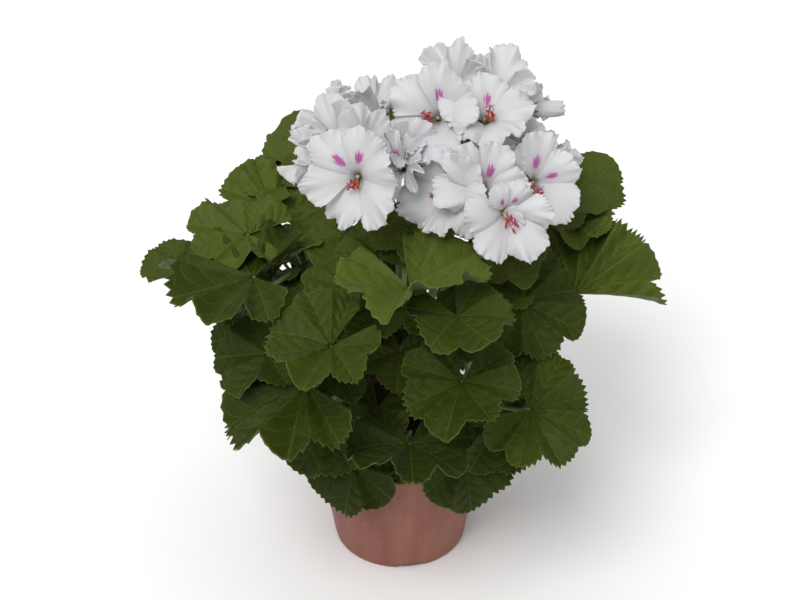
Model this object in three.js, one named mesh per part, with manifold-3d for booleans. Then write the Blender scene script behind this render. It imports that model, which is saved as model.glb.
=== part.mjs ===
// A regal pelargonium in its nursery pot: pot, soil, leafy shoots with their flower stalks, blooms and stamens.
// Millimetres, +Z up, origin at the middle of the pot's foot, the plant's front towards -Y.
import * as THREE from "three";
import { mergeVertices } from "three/addons/utils/BufferGeometryUtils.js";
import Module from "manifold-3d";

const wasm = await Module();
wasm.setup();

// Driving dimensions
const GAP = 0.3; // between pieces that touch
const POT = {
  footRadius: 43,
  bodyRadius: 55.5,
  bodyHeight: 81,
  rimRadius: 60,
  height: 95,
  wall: 1.6,
  floor: 2.4,
  cornerRadius: 4,
  sides: 22,
};
const NOTCH = { count: 4, width: 18, height: 2.6, depth: 9, firstTurn: -80 };
const DRAIN = { radius: 4, fromCentre: 33 };
const SOIL = { top: 83, sides: 24, holeDepth: 24, holeSides: 6 };
const STEM = { baseRadius: 3.4, tipRadius: 2.4, sides: 6, steps: 5 };
const PETIOLE = { radius: 1.2, sides: 3, steps: 3 };
const STALK = { radius: 1.7, sides: 5, steps: 3 };
const PEDICEL = { radius: 0.95, calyxRadius: 2.2, calyxLength: 7, sides: 3 };
const BLADE = { thickness: 0.8, spread: 155, innerRing: 0.55, pleat: 9, wave: 14 };
const LOBES = { count: 7, whenYoung: 5, youngUnder: 37 };
const LOBE_OUTLINE = [0.82, 0.99, 0.99]; // a notch between two lobes, then two teeth
const PETAL = {
  thickness: 0.8,
  share: 0.92,
  rows: [0.12, 0.56, 1],
  points: [2, 3, 5],
  wideOpen: { lift: 62, bend: -64, ruffle: 0.05 },
  crumpled: { lift: 72, bend: -46, ruffle: 0.09 },
  clearance: 0.55,
  funnel: { from: -1, to: 6, radius: 4, sides: 6 },
};
const STAMEN = { count: 3, foot: 3.4, length: 12, radius: 0.5, anther: 1.1, splay: 22 };

// Stems, each a line of points from just above the soil to the tip
const STEMS = {
  left: [[-22, 6, 86], [-30, 9, 110], [-48, 14, 160], [-58, 16, 196]],
  front_left: [[-16, -20, 86], [-24, -28, 108], [-42, -42, 148], [-48, -50, 182]],
  front: [[0, -30, 86], [0, -38, 92], [2, -50, 116]],
  front_right: [[18, -18, 86], [28, -26, 108], [42, -44, 150], [38, -58, 204]],
  right: [[26, 6, 86], [38, 6, 110], [62, 4, 158], [76, 4, 190]],
  centre: [[0, -6, 86], [2, -10, 120], [4, -22, 180], [2, -38, 214]],
  top: [[6, 9, 86], [12, 18, 120], [22, 28, 180], [30, 38, 232]],
  back_right: [[16, 20, 86], [24, 28, 108], [42, 42, 148], [56, 56, 186]],
  back: [[0, 30, 86], [0, 38, 92], [0, 56, 150], [0, 62, 196]],
  back_left: [[-18, 18, 86], [-28, 26, 108], [-42, 44, 150], [-40, 66, 208]],
};

// Leaves: shoot, where the petiole joins the blade (x, y, z), the way the middle vein points
// (heading, dip), roll about it, radius, cup, fold, curl and a number that turns its waves
const LEAVES = [
  ["left", -80, 46, 222, 112, -26, 4, 38, 4, 6, -8, 1.0],
  ["left", -94, 2, 233, 168, -5, -7, 37, 8, 6, -10, 2.0],
  ["left", -88, -38, 229, 174, -1, 4, 56, 6, 8, -6, 0.4, 128],
  ["left", -136, 8, 206, 178, 6, 0, 26, 8, 14, -5, 4.0],
  ["left", -84, 18, 166, 172, 30, -6, 34, 6, 12, -12, 5.4],
  ["left", -64, 2, 126, -178, 50, 0, 34, 4, 8, -7, 3.8],
  ["front_left", -40, -100, 223, -156, -2, -8, 40, 12, 26, -14, 0.9],
  ["front_left", -80, -60, 188, 170, 12, -20, 34, 8, 14, -11, 3.1],
  ["front_left", -56, -82, 182, -172, 18, -8, 58, 4, 8, -10, 5.0, 120],
  ["front_left", -93, -22, 172, 175, 8, -30, 25, 6, 10, -10, 2.2],
  ["front_left", -45, -58, 133, -138, 44, -10, 35, 4, 10, -12, 1.7],
  ["front", -29, -64, 104, -112, 60, 0, 32, 4, 8, -5, 0.2],
  ["front", 6, -92, 144, -88, -5, 0, 42, 12, 4, -14, 2.6],
  ["front", 0, -60, 110, -90, 50, 0, 18, 6, 10, -10, 3.3],
  ["front", -14, -50, 138, -110, 24, 0, 24, 8, 12, -12, 1.2],
  ["front_left", -36, -53, 169, -130, 8, -6, 25, 8, 12, -12, 2.2],
  ["front_right", 40, -62, 108, -72, 58, 0, 34, 4, 8, -5, 4.4],
  ["front_right", 58, -56, 128, -46, 38, 14, 32, 4, 10, -11, 1.1],
  ["front_right", 36, -106, 202, -108, 20, 0, 38, 10, 20, -10, 5.6],
  ["front_right", 78, -80, 161, -14, 18, 28, 40, 6, 12, -9, 3.9, 140],
  ["front_right", 33, -100, 244, -58, 0, 0, 34, 8, 16, -12, 0.7],
  ["right", 74, -28, 204, -18, 18, 26, 41, 4, 8, -9, 2.9],
  ["right", 108, -10, 197, 68, -16, 4, 59, 8, 12, -8, 1.9, 84],
  ["right", 101, 48, 225, 46, -16, 2, 31, 6, 10, -8, 0.1],
  ["right", 111, 34, 220, 24, -12, 2, 25, 6, 10, -8, 4.1],
  ["right", 76, -8, 154, -8, 26, 6, 27, 6, 12, -12, 0.9],
  ["right", 68, 0, 124, -4, 50, 0, 34, 4, 8, -7, 2.4],
  ["centre", 6, -78, 248, -62, -22, 0, 51, 16, 26, -16, 1.3],
  ["centre", -36, -46, 228, -140, 8, -10, 24, 8, 14, -13, 3.6],
  ["centre", -12, -14, 226, 112, -12, 0, 31, 8, 10, -13, 2.6],
  ["centre", 66, -16, 229, -60, 12, 10, 24, 8, 14, -15, 5.2],
  ["centre", 0, -52, 184, -96, 18, 0, 28, 8, 14, -12, 4.8],
  ["back_left", -60, 98, 238, 134, -4, -12, 32, 4, 8, -12, 2.4],
  ["back_right", 114, 87, 210, 34, -18, 12, 34, 6, 10, -10, 0.5],
  ["back", -2, 86, 226, 92, 12, 0, 38, 8, 16, -13, 1.6],
  ["top", 60, 84, 252, 62, 0, 0, 32, 8, 14, -12, 2.7],
];
// The side away from the front repeats the front's lower and larger leaves, turned half round
const TURNED = { front_left: "back_right", front: "back", front_right: "back_left" };
const HIGHEST_TURNED = 222;
const SMALLEST_TURNED = 30;

// Umbels: where each head's pedicels spring from, and the shoot that carries the stalk
const UMBELS = {
  left: { shoot: "left", at: [-24, 24, 264] },
  top: { shoot: "top", at: [42, 44, 278] },
  right: { shoot: "right", at: [60, 14, 244] },
};

// Blooms: head, where the throat starts (x, y, z), the way the bloom faces (heading, rise), turn of
// its upper petals about that, radius, petals, ruffle turn, whether it is wide open with stamens,
// and the length of its upper petals against the others, if they are shorter
const BLOOMS = [
  ["left", -23, -36, 299, -112, 28, 22, 38, 6, 0.3, true],
  ["left", 3, -17, 291, -112, 50, -4, 29, 5, 1.1, false],
  ["left", -19, -4, 299, -96, 60, 0, 29, 5, 2.3, false],
  ["left", -35, 18, 290, -150, 52, 10, 32, 5, 3.1, false],
  ["left", -43, 10, 281, 190, 14, -10, 30, 5, 4.2, false],
  ["left", -16, 38, 293, 80, 74, 30, 30, 5, 5.0, false],
  ["left", -36, 48, 276, 130, 30, 0, 31, 5, 0.9, false],
  ["left", -4, 60, 276, 84, 28, -10, 30, 5, 2.7, false],
  ["top", 24, 6, 312, -118, 46, -40, 38, 5, 0.8, true],
  ["top", 50, 2, 311, -80, 74, 19, 35, 5, 1.9, true],
  ["top", 34, 44, 312, -100, 62, 20, 33, 5, 2.8, false],
  ["top", 57, 36, 307, -64, 62, 0, 36, 5, 3.7, false],
  ["top", 65, 14, 290, -44, 52, 0, 27, 5, 4.4, false],
  ["top", 55, -12, 290, -84, 58, 0, 26, 5, 2.0, false],
  ["top", 34, 80, 280, 92, 14, 0, 31, 5, 5.5, false],
  ["top", 66, 64, 280, 46, 20, 0, 30, 5, 0.2, false],
  ["top", 5, -6, 296, -118, 48, 0, 26, 5, 3.9, false],
  ["right", 34, -28, 283, -134, 22, -56, 37, 5, 3.3, true],
  ["right", 49, -34, 287, -98, 38, 10, 36, 6, 0.5, true],
  ["right", 60, -52, 286, -74, 22, -5, 35, 6, 1.4, true, 0.66],
  ["right", 77, -12, 280, -64, 27, -40, 36, 5, 2.1, true],
  ["right", 84, 20, 270, 2, 44, 0, 29, 5, 4.6, false],
  ["right", 80, 36, 260, 50, 26, 0, 29, 5, 5.9, false],
];

// Buds: head, where the bud starts (x, y, z), the way it points (heading, rise), length and radius
const BUDS = [
  ["top", 78, 38, 300, 2, 4, 22, 5],
  ["left", -38, 76, 285, 120, 66, 13, 3.4],
];

// Colours
const plain = (color, roughness) => new THREE.MeshStandardMaterial({ color, roughness, metalness: 0 });
const TERRACOTTA = plain(0x82564d, 0.55);
const PEAT = plain(0x2c1f17, 0.95);
const GREEN = plain(0x354119, 0.6);
const WHITE = plain(0xd9dadc, 0.7);
const ORANGE_RED = plain(0xb4381c, 0.6);

const group = new THREE.Group();
group.name = "potted_regal_pelargonium";

function addNode(name, solid, material) {
  const mesh = solid.getMesh();
  const geometry = new THREE.BufferGeometry();
  geometry.setAttribute("position", new THREE.BufferAttribute(mesh.vertProperties, 3));
  geometry.setIndex(new THREE.BufferAttribute(mesh.triVerts, 1));
  geometry.computeVertexNormals();
  const node = new THREE.Mesh(geometry, material.clone());
  node.name = name;
  group.add(node);
}

function solidOf(geometry) {
  geometry.deleteAttribute("normal");
  geometry.deleteAttribute("uv");
  const merged = mergeVertices(geometry, 1e-4);
  const vertProperties = new Float32Array(merged.attributes.position.array);
  const triVerts = new Uint32Array(merged.index.array);
  return new wasm.Manifold(new wasm.Mesh({ numProp: 3, vertProperties, triVerts }));
}

function solidFrom(points, triangles) {
  const geometry = new THREE.BufferGeometry().setFromPoints(points);
  geometry.setIndex(triangles.flat());
  return solidOf(geometry);
}

const join = (solids) => solids.reduce((whole, next) => whole.add(next));
const radians = THREE.MathUtils.degToRad;
const vector = ([x, y, z]) => new THREE.Vector3(x, y, z);
const largest = (solid) => solid.decompose().reduce((a, b) => (b.volume() > a.volume() ? b : a));

// A direction from its heading round the pot and its rise above level, in degrees
function direction(heading, rise) {
  const h = radians(heading);
  const r = radians(rise);
  return new THREE.Vector3(Math.cos(h) * Math.cos(r), Math.sin(h) * Math.cos(r), Math.sin(r));
}

// A closed tube of a few sides along a curve, with a ring at each place in stops, of the radius beside it
function ringed(curve, stops, sides) {
  const points = [];
  const triangles = [];
  const along = curve.getTangent(0);
  let across = Math.abs(along.z) < 0.9 ? new THREE.Vector3(0, 0, 1) : new THREE.Vector3(1, 0, 0);
  for (const [t, radius] of stops) {
    const tangent = curve.getTangent(t);
    across = across.clone().addScaledVector(tangent, -across.dot(tangent)).normalize();
    const other = tangent.clone().cross(across);
    for (let k = 0; k < sides; k++) {
      const angle = (2 * Math.PI * k) / sides;
      const point = curve.getPoint(t);
      point.addScaledVector(across, radius * Math.cos(angle));
      points.push(point.addScaledVector(other, radius * Math.sin(angle)));
    }
  }
  const steps = stops.length - 1;
  const last = steps * sides;
  for (let k = 1; k < sides - 1; k++) {
    triangles.push([0, k + 1, k]);
    triangles.push([last, last + k, last + k + 1]);
  }
  for (let i = 0; i < steps; i++) {
    for (let k = 0; k < sides; k++) {
      const a = i * sides + k;
      const b = i * sides + ((k + 1) % sides);
      triangles.push([a, b, b + sides], [a, b + sides, a + sides]);
    }
  }
  return solidFrom(points, triangles);
}

// The same tube in equal steps, its radius going evenly from start to end
function tube(curve, startRadius, endRadius, sides, steps) {
  const stops = Array.from({ length: steps + 1 }, (_, i) => i / steps);
  return ringed(curve, stops.map((t) => [t, startRadius + (endRadius - startRadius) * t]), sides);
}

const rod = (from, to, startRadius, endRadius, sides) =>
  tube(new THREE.LineCurve3(from, to), startRadius, endRadius, sides, 1);

// The triangles between one row of points and the next, numbered from their starts
function stitch(innerStart, innerCount, outerStart, outerCount) {
  const faces = [];
  let i = 0;
  let j = 0;
  while (i < innerCount - 1 || j < outerCount - 1) {
    const nextInner = i < innerCount - 1 ? (i + 1) / (innerCount - 1) : 2;
    const nextOuter = j < outerCount - 1 ? (j + 1) / (outerCount - 1) : 2;
    const a = innerStart + i;
    const b = outerStart + j;
    if (nextOuter <= nextInner) {
      faces.push([a, b, b + 1]);
      j++;
    } else {
      faces.push([a, b, a + 1]);
      i++;
    }
  }
  return faces;
}

// A thin closed sheet, split into triangles alike on both faces: each face lies half the thickness
// from the given points along their normals, and a rim joins the two round every free edge
function sheet(points, faces, thickness) {
  const normals = points.map(() => new THREE.Vector3());
  const edges = new Map();
  for (const [a, b, c] of faces) {
    const ab = points[b].clone().sub(points[a]);
    const ac = points[c].clone().sub(points[a]);
    const normal = ab.cross(ac).normalize();
    for (const k of [a, b, c]) normals[k].add(normal);
    for (const [p, q] of [[a, b], [b, c], [c, a]]) {
      if (edges.has(q + " " + p)) edges.delete(q + " " + p);
      else edges.set(p + " " + q, [p, q]);
    }
  }
  const unit = normals.map((normal) => normal.normalize());
  const shifted = (side) => points.map((point, k) => point.clone().addScaledVector(unit[k], (side * thickness) / 2));
  const count = points.length;
  const triangles = [];
  for (const [a, b, c] of faces) triangles.push([a, b, c], [count + a, count + c, count + b]);
  for (const [p, q] of edges.values()) triangles.push([p, count + p, count + q], [p, count + q, q]);
  return solidFrom([...shifted(1), ...shifted(-1)], triangles);
}

// Pot: a tapering wall with a rounded foot and a rim band, notched foot and drain holes
function makePot() {
  const corner = POT.cornerRadius;
  const taper = (POT.bodyRadius - POT.footRadius) / POT.bodyHeight;
  const outside = (z) => POT.footRadius + taper * z;
  const profile = [
    [0, 0],
    [POT.footRadius - corner, 0],
    [POT.footRadius - corner * 0.3, corner * 0.3],
    [outside(corner), corner],
    [outside(POT.bodyHeight), POT.bodyHeight],
    [POT.rimRadius - 1.2, POT.bodyHeight + 1],
    [POT.rimRadius, POT.height - 1],
    [POT.rimRadius - 0.8, POT.height],
    [POT.rimRadius - POT.wall - 0.6, POT.height],
    [POT.rimRadius - POT.wall - 2, POT.bodyHeight + 2.6],
    [outside(POT.bodyHeight) - POT.wall, POT.bodyHeight],
    [outside(corner) - POT.wall, corner + 1],
    [outside(0) - POT.wall - 2, POT.floor],
    [0, POT.floor],
  ].map(([r, z]) => new THREE.Vector2(r, z));
  const pot = solidOf(new THREE.LatheGeometry(profile, POT.sides).rotateX(Math.PI / 2));
  const cuts = [];
  for (let i = 0; i < NOTCH.count; i++) {
    const turn = radians(NOTCH.firstTurn + (360 / NOTCH.count) * i);
    const notch = new THREE.BoxGeometry(NOTCH.depth + 6, NOTCH.width, 2 * NOTCH.height);
    notch.translate(POT.footRadius - NOTCH.depth / 2 + 3, 0, 0).rotateZ(turn);
    const drain = new THREE.CylinderGeometry(DRAIN.radius, DRAIN.radius, 4 * POT.floor, 8);
    drain.rotateX(Math.PI / 2).translate(DRAIN.fromCentre, 0, 0).rotateZ(turn);
    cuts.push(solidOf(notch), solidOf(drain));
  }
  return pot.subtract(join(cuts));
}

// Soil: fills the pot to below the rim, with a plain hole for each stem
function makeSoil() {
  const taper = (POT.bodyRadius - POT.footRadius) / POT.bodyHeight;
  const wallInside = (z) => (POT.footRadius + taper * z - POT.wall - GAP) * 0.993;
  const profile = [
    [0, POT.floor + GAP],
    [wallInside(0) - 3, POT.floor + GAP],
    [wallInside(POT.cornerRadius + 1) - 0.4, POT.cornerRadius + 2],
    [wallInside(POT.bodyHeight - 2), POT.bodyHeight - 2],
    [wallInside(POT.bodyHeight - 2) - 3, SOIL.top],
    [0, SOIL.top],
  ].map(([r, z]) => new THREE.Vector2(r, z));
  const soil = solidOf(new THREE.LatheGeometry(profile, SOIL.sides).rotateX(Math.PI / 2));
  const holes = Object.values(STEMS).map(([base]) => {
    const radius = STEM.baseRadius + 2 * GAP;
    const hole = new THREE.CylinderGeometry(radius, radius, 2 * SOIL.holeDepth, SOIL.holeSides);
    return solidOf(hole.rotateX(Math.PI / 2).translate(base[0], base[1], SOIL.top));
  });
  return soil.subtract(join(holes));
}

// Leaves: the blade's axes, its surface and its solid
function leafFrom([shoot, x, y, z, heading, dip, roll, size, cup, fold, curl, seed, spread = BLADE.spread]) {
  const lobes = size < LOBES.youngUnder ? LOBES.whenYoung : LOBES.count;
  return { shoot, at: [x, y, z], heading, dip, roll, size, cup, fold, curl, seed, spread, lobes };
}

function bladeAxes(leaf) {
  const middle = direction(leaf.heading, -leaf.dip);
  const level = direction(leaf.heading + 90, 0);
  const up = middle.clone().cross(level);
  const turn = radians(leaf.roll);
  const side = level.clone().multiplyScalar(Math.cos(turn)).addScaledVector(up, Math.sin(turn));
  return { middle, side, normal: middle.clone().cross(side) };
}

// The point of a blade at s from petiole to margin and phi from -1 to 1 round it, margin times wide
function bladePoint(leaf, s, phi, wide) {
  const angle = phi * radians(leaf.spread);
  const vein = Math.abs(Math.cos((phi * Math.PI * leaf.lobes) / 2));
  const reach = leaf.size * (1 - 0.26 * (angle / Math.PI) ** 2) * wide;
  const lift = radians(leaf.cup + leaf.fold * Math.sin(angle / 2) ** 2 + BLADE.pleat * (0.5 - vein));
  const waves = BLADE.wave * Math.sin(3 * angle + leaf.seed) + 8 * Math.sin(5 * angle + 2 * leaf.seed);
  const bend = radians(leaf.curl + waves) || 1e-4;
  const out = (Math.sin(lift + bend * s) - Math.sin(lift)) / bend;
  const up = (Math.cos(lift) - Math.cos(lift + bend * s)) / bend;
  const { middle, side, normal } = bladeAxes(leaf);
  const point = vector(leaf.at).addScaledVector(middle, reach * out * Math.cos(angle));
  return point.addScaledVector(side, reach * out * Math.sin(angle)).addScaledVector(normal, reach * up);
}

function makeBlade(leaf) {
  const ring = [];
  for (let i = 0; i <= leaf.lobes; i++) {
    ring.push(bladePoint(leaf, BLADE.innerRing, (2 * i) / leaf.lobes - 1, 0.9));
  }
  const margin = [];
  const steps = leaf.lobes * LOBE_OUTLINE.length;
  for (let i = 0; i <= steps; i++) {
    margin.push(bladePoint(leaf, 1, (2 * i) / steps - 1, LOBE_OUTLINE[i % LOBE_OUTLINE.length]));
  }
  const points = [vector(leaf.at), ...ring, ...margin];
  const faces = [
    ...stitch(0, 1, 1, ring.length),
    ...stitch(1, ring.length, 1 + ring.length, margin.length),
  ];
  return sheet(points, faces, BLADE.thickness);
}

// The petiole leaves its stem at a slant and reaches the blade from below and behind
function makePetiole(leaf, stem) {
  const end = vector(leaf.at);
  const level = (p) => Math.hypot(end.x - p.x, end.y - p.y);
  const miss = (p) => Math.abs(end.z - 0.5 * level(p) - p.z);
  const places = stem.getPoints(24).slice(3);
  const start = places.reduce((best, p) => (miss(p) < miss(best) ? p : best));
  const length = start.distanceTo(end);
  const { middle, normal } = bladeAxes(leaf);
  const rising = end.clone().sub(start).multiplyScalar(0.4).add(new THREE.Vector3(0, 0, 0.1 * length));
  const arriving = middle.clone().multiplyScalar(0.5).addScaledVector(normal, 0.85).multiplyScalar(0.3 * length);
  const curve = new THREE.CubicBezierCurve3(start, start.clone().add(rising), end.clone().sub(arriving), end);
  return tube(curve, PETIOLE.radius * 1.2, PETIOLE.radius, PETIOLE.sides, PETIOLE.steps);
}

// Blooms: the axes, petals, throat, calyx and stamens
function bloomFrom([head, x, y, z, heading, rise, turn, size, petals, seed, open, upper = 1]) {
  const facing = direction(heading, rise);
  const upright = direction(heading, rise + 90).applyAxisAngle(facing, radians(turn));
  return { head, at: vector([x, y, z]), facing, upright, size, petals, seed, open, upper, share: PETAL.share };
}

// The point of petal k at s from claw to margin and phi from -1 to 1 across it
function petalPoint(bloom, k, s, phi) {
  const round = radians(((k + 0.5) * 360) / bloom.petals);
  const outward = bloom.upright.clone().applyAxisAngle(bloom.facing, round);
  const sideways = bloom.facing.clone().cross(outward);
  const shape = bloom.open ? PETAL.wideOpen : PETAL.crumpled;
  const half = radians(bloom.share * 180) / bloom.petals;
  const angle = phi * half;
  const size = bloom.size * (k === 0 || k === bloom.petals - 1 ? bloom.upper : 1);
  const reach = size * (1 - 0.16 * phi ** 4) * (0.96 + 0.08 * Math.sin(2.4 * k + bloom.seed));
  const lift = radians(shape.lift + 8 * Math.sin(k * 1.7 + bloom.seed));
  const bend = radians(shape.bend + 12 * Math.sin(k * 2.3 + 2 * bloom.seed));
  const out = (Math.sin(lift + bend * s) - Math.sin(lift)) / bend;
  const up = (Math.cos(lift) - Math.cos(lift + bend * s)) / bend;
  const ruffle = shape.ruffle * s ** 3 * Math.sin(3 * Math.PI * phi + 2 * k + bloom.seed);
  const over = 0.06 * phi * s;
  const point = bloom.at.clone().addScaledVector(outward, reach * out * Math.cos(angle));
  point.addScaledVector(sideways, reach * out * Math.sin(angle));
  return point.addScaledVector(bloom.facing, reach * (up + ruffle + over));
}

const across = (count, i) => (2 * i) / (count - 1) - 1;

// The petals grow from one small funnel, closed at the calyx
function makeBloom(bloom) {
  const points = [bloom.at];
  const faces = [];
  for (let k = 0; k < bloom.petals; k++) {
    for (const i of [0, 1]) points.push(petalPoint(bloom, k, PETAL.rows[0], across(2, i)));
  }
  const ringCount = 2 * bloom.petals;
  for (let i = 0; i < ringCount; i++) faces.push([0, 1 + i, 1 + ((i + 1) % ringCount)]);
  for (let k = 0; k < bloom.petals; k++) {
    let inner = 1 + 2 * k;
    let innerCount = 2;
    PETAL.rows.slice(1).forEach((s, r) => {
      const count = PETAL.points[r + 1];
      const start = points.length;
      for (let i = 0; i < count; i++) points.push(petalPoint(bloom, k, s, across(count, i)));
      faces.push(...stitch(inner, innerCount, start, count));
      inner = start;
      innerCount = count;
    });
  }
  return sheet(points, faces, PETAL.thickness);
}

// The room that petal k needs: the petal from the throat out, wider and thicker by its clearance
function roomForPetal(bloom, k) {
  const size = bloom.size + PETAL.clearance;
  const grown = { ...bloom, size, share: PETAL.share + PETAL.clearance / 10 };
  const points = [bloom.at];
  const faces = [];
  let inner = 0;
  let innerCount = 1;
  PETAL.rows.forEach((s, r) => {
    const count = PETAL.points[r];
    const start = points.length;
    for (let i = 0; i < count; i++) points.push(petalPoint(grown, k, s, across(count, i)));
    faces.push(...stitch(inner, innerCount, start, count));
    inner = start;
    innerCount = count;
  });
  return sheet(points, faces, PETAL.thickness + 2 * PETAL.clearance);
}

// The room that a bloom needs: that of its petals, and a rod round the funnel that they grow from
function roomForBloom(bloom) {
  const place = (along) => bloom.at.clone().addScaledVector(bloom.facing, along);
  const { from, to, radius, sides } = PETAL.funnel;
  const funnel = rod(place(from), place(to), radius, radius, sides);
  return join([funnel, ...Array.from({ length: bloom.petals }, (_, k) => roomForPetal(bloom, k))]);
}

// A pedicel from its umbel, widening into the calyx just short of the flower
function makePedicel(umbel, flower, extra) {
  const end = flower.at.clone().addScaledVector(flower.facing, -GAP - PETAL.thickness / 2);
  const length = umbel.distanceTo(end);
  const before = end.clone().addScaledVector(flower.facing, -0.45 * length);
  const after = umbel.clone().lerp(end, 0.25).add(new THREE.Vector3(0, 0, 0.15 * length));
  const curve = new THREE.CubicBezierCurve3(umbel, after, before, end);
  const radius = PEDICEL.radius + extra;
  const stops = [[0, radius], [0.45, radius], [1 - PEDICEL.calyxLength / length, radius], [1, PEDICEL.calyxRadius]];
  return ringed(curve, stops, PEDICEL.sides);
}

function makeStamens(bloom, extra) {
  const foot = bloom.at.clone().addScaledVector(bloom.facing, STAMEN.foot);
  const solids = [rod(foot, foot.clone().addScaledVector(bloom.facing, 2), 0.7 + extra, 0.9 + extra, 5)];
  for (let i = 0; i < STAMEN.count; i++) {
    const around = ((2 * Math.PI) / STAMEN.count) * i + bloom.seed;
    const side = bloom.upright.clone().applyAxisAngle(bloom.facing, around);
    const way = bloom.facing.clone().multiplyScalar(Math.cos(radians(STAMEN.splay)));
    way.addScaledVector(side, Math.sin(radians(STAMEN.splay)));
    const start = foot.clone().addScaledVector(bloom.facing, 0.6);
    const end = start.clone().addScaledVector(way, STAMEN.length);
    const stops = [[0, STAMEN.radius], [0.76, STAMEN.radius], [0.84, STAMEN.anther], [1, STAMEN.radius]];
    const grown = stops.map(([t, radius]) => [t, radius + 2 * extra]);
    solids.push(ringed(new THREE.LineCurve3(start, end), grown, 3));
  }
  return join(solids);
}

// Buds: a green calyx on its pedicel, and the rolled petals that stand out of it
function budFrom([head, x, y, z, heading, rise, length, radius]) {
  return { head, at: vector([x, y, z]), facing: direction(heading, rise), length, radius };
}

function makeBudPetals(bud) {
  const profile = [[0, 0], [0.5, 0.1], [1, 0.5], [0.7, 0.85], [0, 1]];
  const points = profile.map(([r, t]) => new THREE.Vector2(r * bud.radius, t * bud.length));
  const geometry = new THREE.LatheGeometry(points, 7).rotateX(Math.PI / 2);
  const turn = new THREE.Quaternion().setFromUnitVectors(new THREE.Vector3(0, 0, 1), bud.facing);
  return solidOf(geometry.applyQuaternion(turn).translate(bud.at.x, bud.at.y, bud.at.z));
}

// Assembly
const leaves = LEAVES.map(leafFrom);
for (const leaf of LEAVES.map(leafFrom)) {
  if (!TURNED[leaf.shoot] || leaf.at[2] > HIGHEST_TURNED || leaf.size < SMALLEST_TURNED) continue;
  const at = [-leaf.at[0], -leaf.at[1], leaf.at[2]];
  leaves.push({ ...leaf, shoot: TURNED[leaf.shoot], at, heading: leaf.heading + 180 });
}
const blooms = BLOOMS.map(bloomFrom);
const buds = BUDS.map(budFrom);

addNode("pot", makePot(), TERRACOTTA);
addNode("soil", makeSoil(), PEAT);

const stalks = [];
for (const [name, points] of Object.entries(STEMS)) {
  const crown = vector(points[0]);
  const root = crown.clone().setZ(SOIL.top - SOIL.holeDepth + GAP);
  const stem = new THREE.CatmullRomCurve3(points.map(vector));
  const solids = [
    rod(root, crown.clone().setZ(crown.z + 1), STEM.baseRadius, STEM.baseRadius, STEM.sides),
    tube(stem, STEM.baseRadius, STEM.tipRadius, STEM.sides, STEM.steps),
  ];
  for (const leaf of leaves.filter((one) => one.shoot === name)) {
    solids.push(makePetiole(leaf, stem), makeBlade(leaf));
  }
  for (const [head, umbel] of Object.entries(UMBELS).filter(([, one]) => one.shoot === name)) {
    const centre = vector(umbel.at);
    const tip = stem.getPoint(0.97);
    const rising = tip.clone().lerp(centre, 0.5).add(new THREE.Vector3(0, 0, -6));
    const stalk = new THREE.QuadraticBezierCurve3(tip, rising, centre);
    const green = [tube(stalk, STALK.radius, STALK.radius, STALK.sides, STALK.steps)];
    for (const one of [...blooms, ...buds].filter((flower) => flower.head === head)) {
      green.push(makePedicel(centre, one, 0));
      stalks.push(makePedicel(centre, one, GAP));
    }
    solids.push(...green);
  }
  addNode("shoot_" + name, join(solids), GREEN);
}

// Blooms crowd in on each other: the wide open ones are whole, and what crosses them ends clear of them
let taken = join(stalks);
const named = blooms.map((bloom, i) => ({ ...bloom, name: bloom.head + "_" + (i + 1) }));
for (const bloom of [...named.filter((one) => one.open), ...named.filter((one) => !one.open)]) {
  addNode("petals_" + bloom.name, largest(makeBloom(bloom).subtract(taken)), WHITE);
  const room = [taken, roomForBloom(bloom)];
  if (bloom.open) {
    addNode("stamens_" + bloom.name, largest(makeStamens(bloom, 0).subtract(taken)), ORANGE_RED);
    room.push(makeStamens(bloom, GAP));
  }
  taken = join(room);
}
buds.forEach((bud, i) => addNode("bud_" + (i + 1), largest(makeBudPetals(bud).subtract(taken)), WHITE));

export default group;
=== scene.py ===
import bpy
import numpy as np
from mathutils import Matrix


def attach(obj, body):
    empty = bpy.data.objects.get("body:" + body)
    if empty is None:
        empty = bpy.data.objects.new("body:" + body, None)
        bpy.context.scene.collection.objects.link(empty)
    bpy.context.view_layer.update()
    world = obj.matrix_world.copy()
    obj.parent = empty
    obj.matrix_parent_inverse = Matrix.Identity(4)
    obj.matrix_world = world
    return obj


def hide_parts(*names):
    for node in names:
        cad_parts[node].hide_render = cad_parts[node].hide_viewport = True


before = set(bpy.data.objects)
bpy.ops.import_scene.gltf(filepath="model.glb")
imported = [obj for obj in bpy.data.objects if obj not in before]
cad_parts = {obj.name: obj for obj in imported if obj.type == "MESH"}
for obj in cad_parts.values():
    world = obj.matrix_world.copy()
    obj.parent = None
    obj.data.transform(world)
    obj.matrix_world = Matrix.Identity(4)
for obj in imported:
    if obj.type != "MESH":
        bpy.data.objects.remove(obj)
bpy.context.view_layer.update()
MM = 0.001

# Camera
# The plant is seen from the front, 1.5 m away and 35 degrees from above, through a long lens.
CAMERA_PLACE = (0, -1132 * MM, 984 * MM)
CAMERA_DOWN = 35.2
CAMERA_LENS = 99.7
camera = bpy.data.objects.new("camera", bpy.data.cameras.new("camera"))
camera.data.lens = CAMERA_LENS
camera.location = CAMERA_PLACE
camera.rotation_euler = (np.radians(90 - CAMERA_DOWN), 0, 0)
bpy.context.scene.collection.objects.link(camera)
bpy.context.scene.camera = camera
bpy.context.scene.view_settings.view_transform = "Standard"


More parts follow.
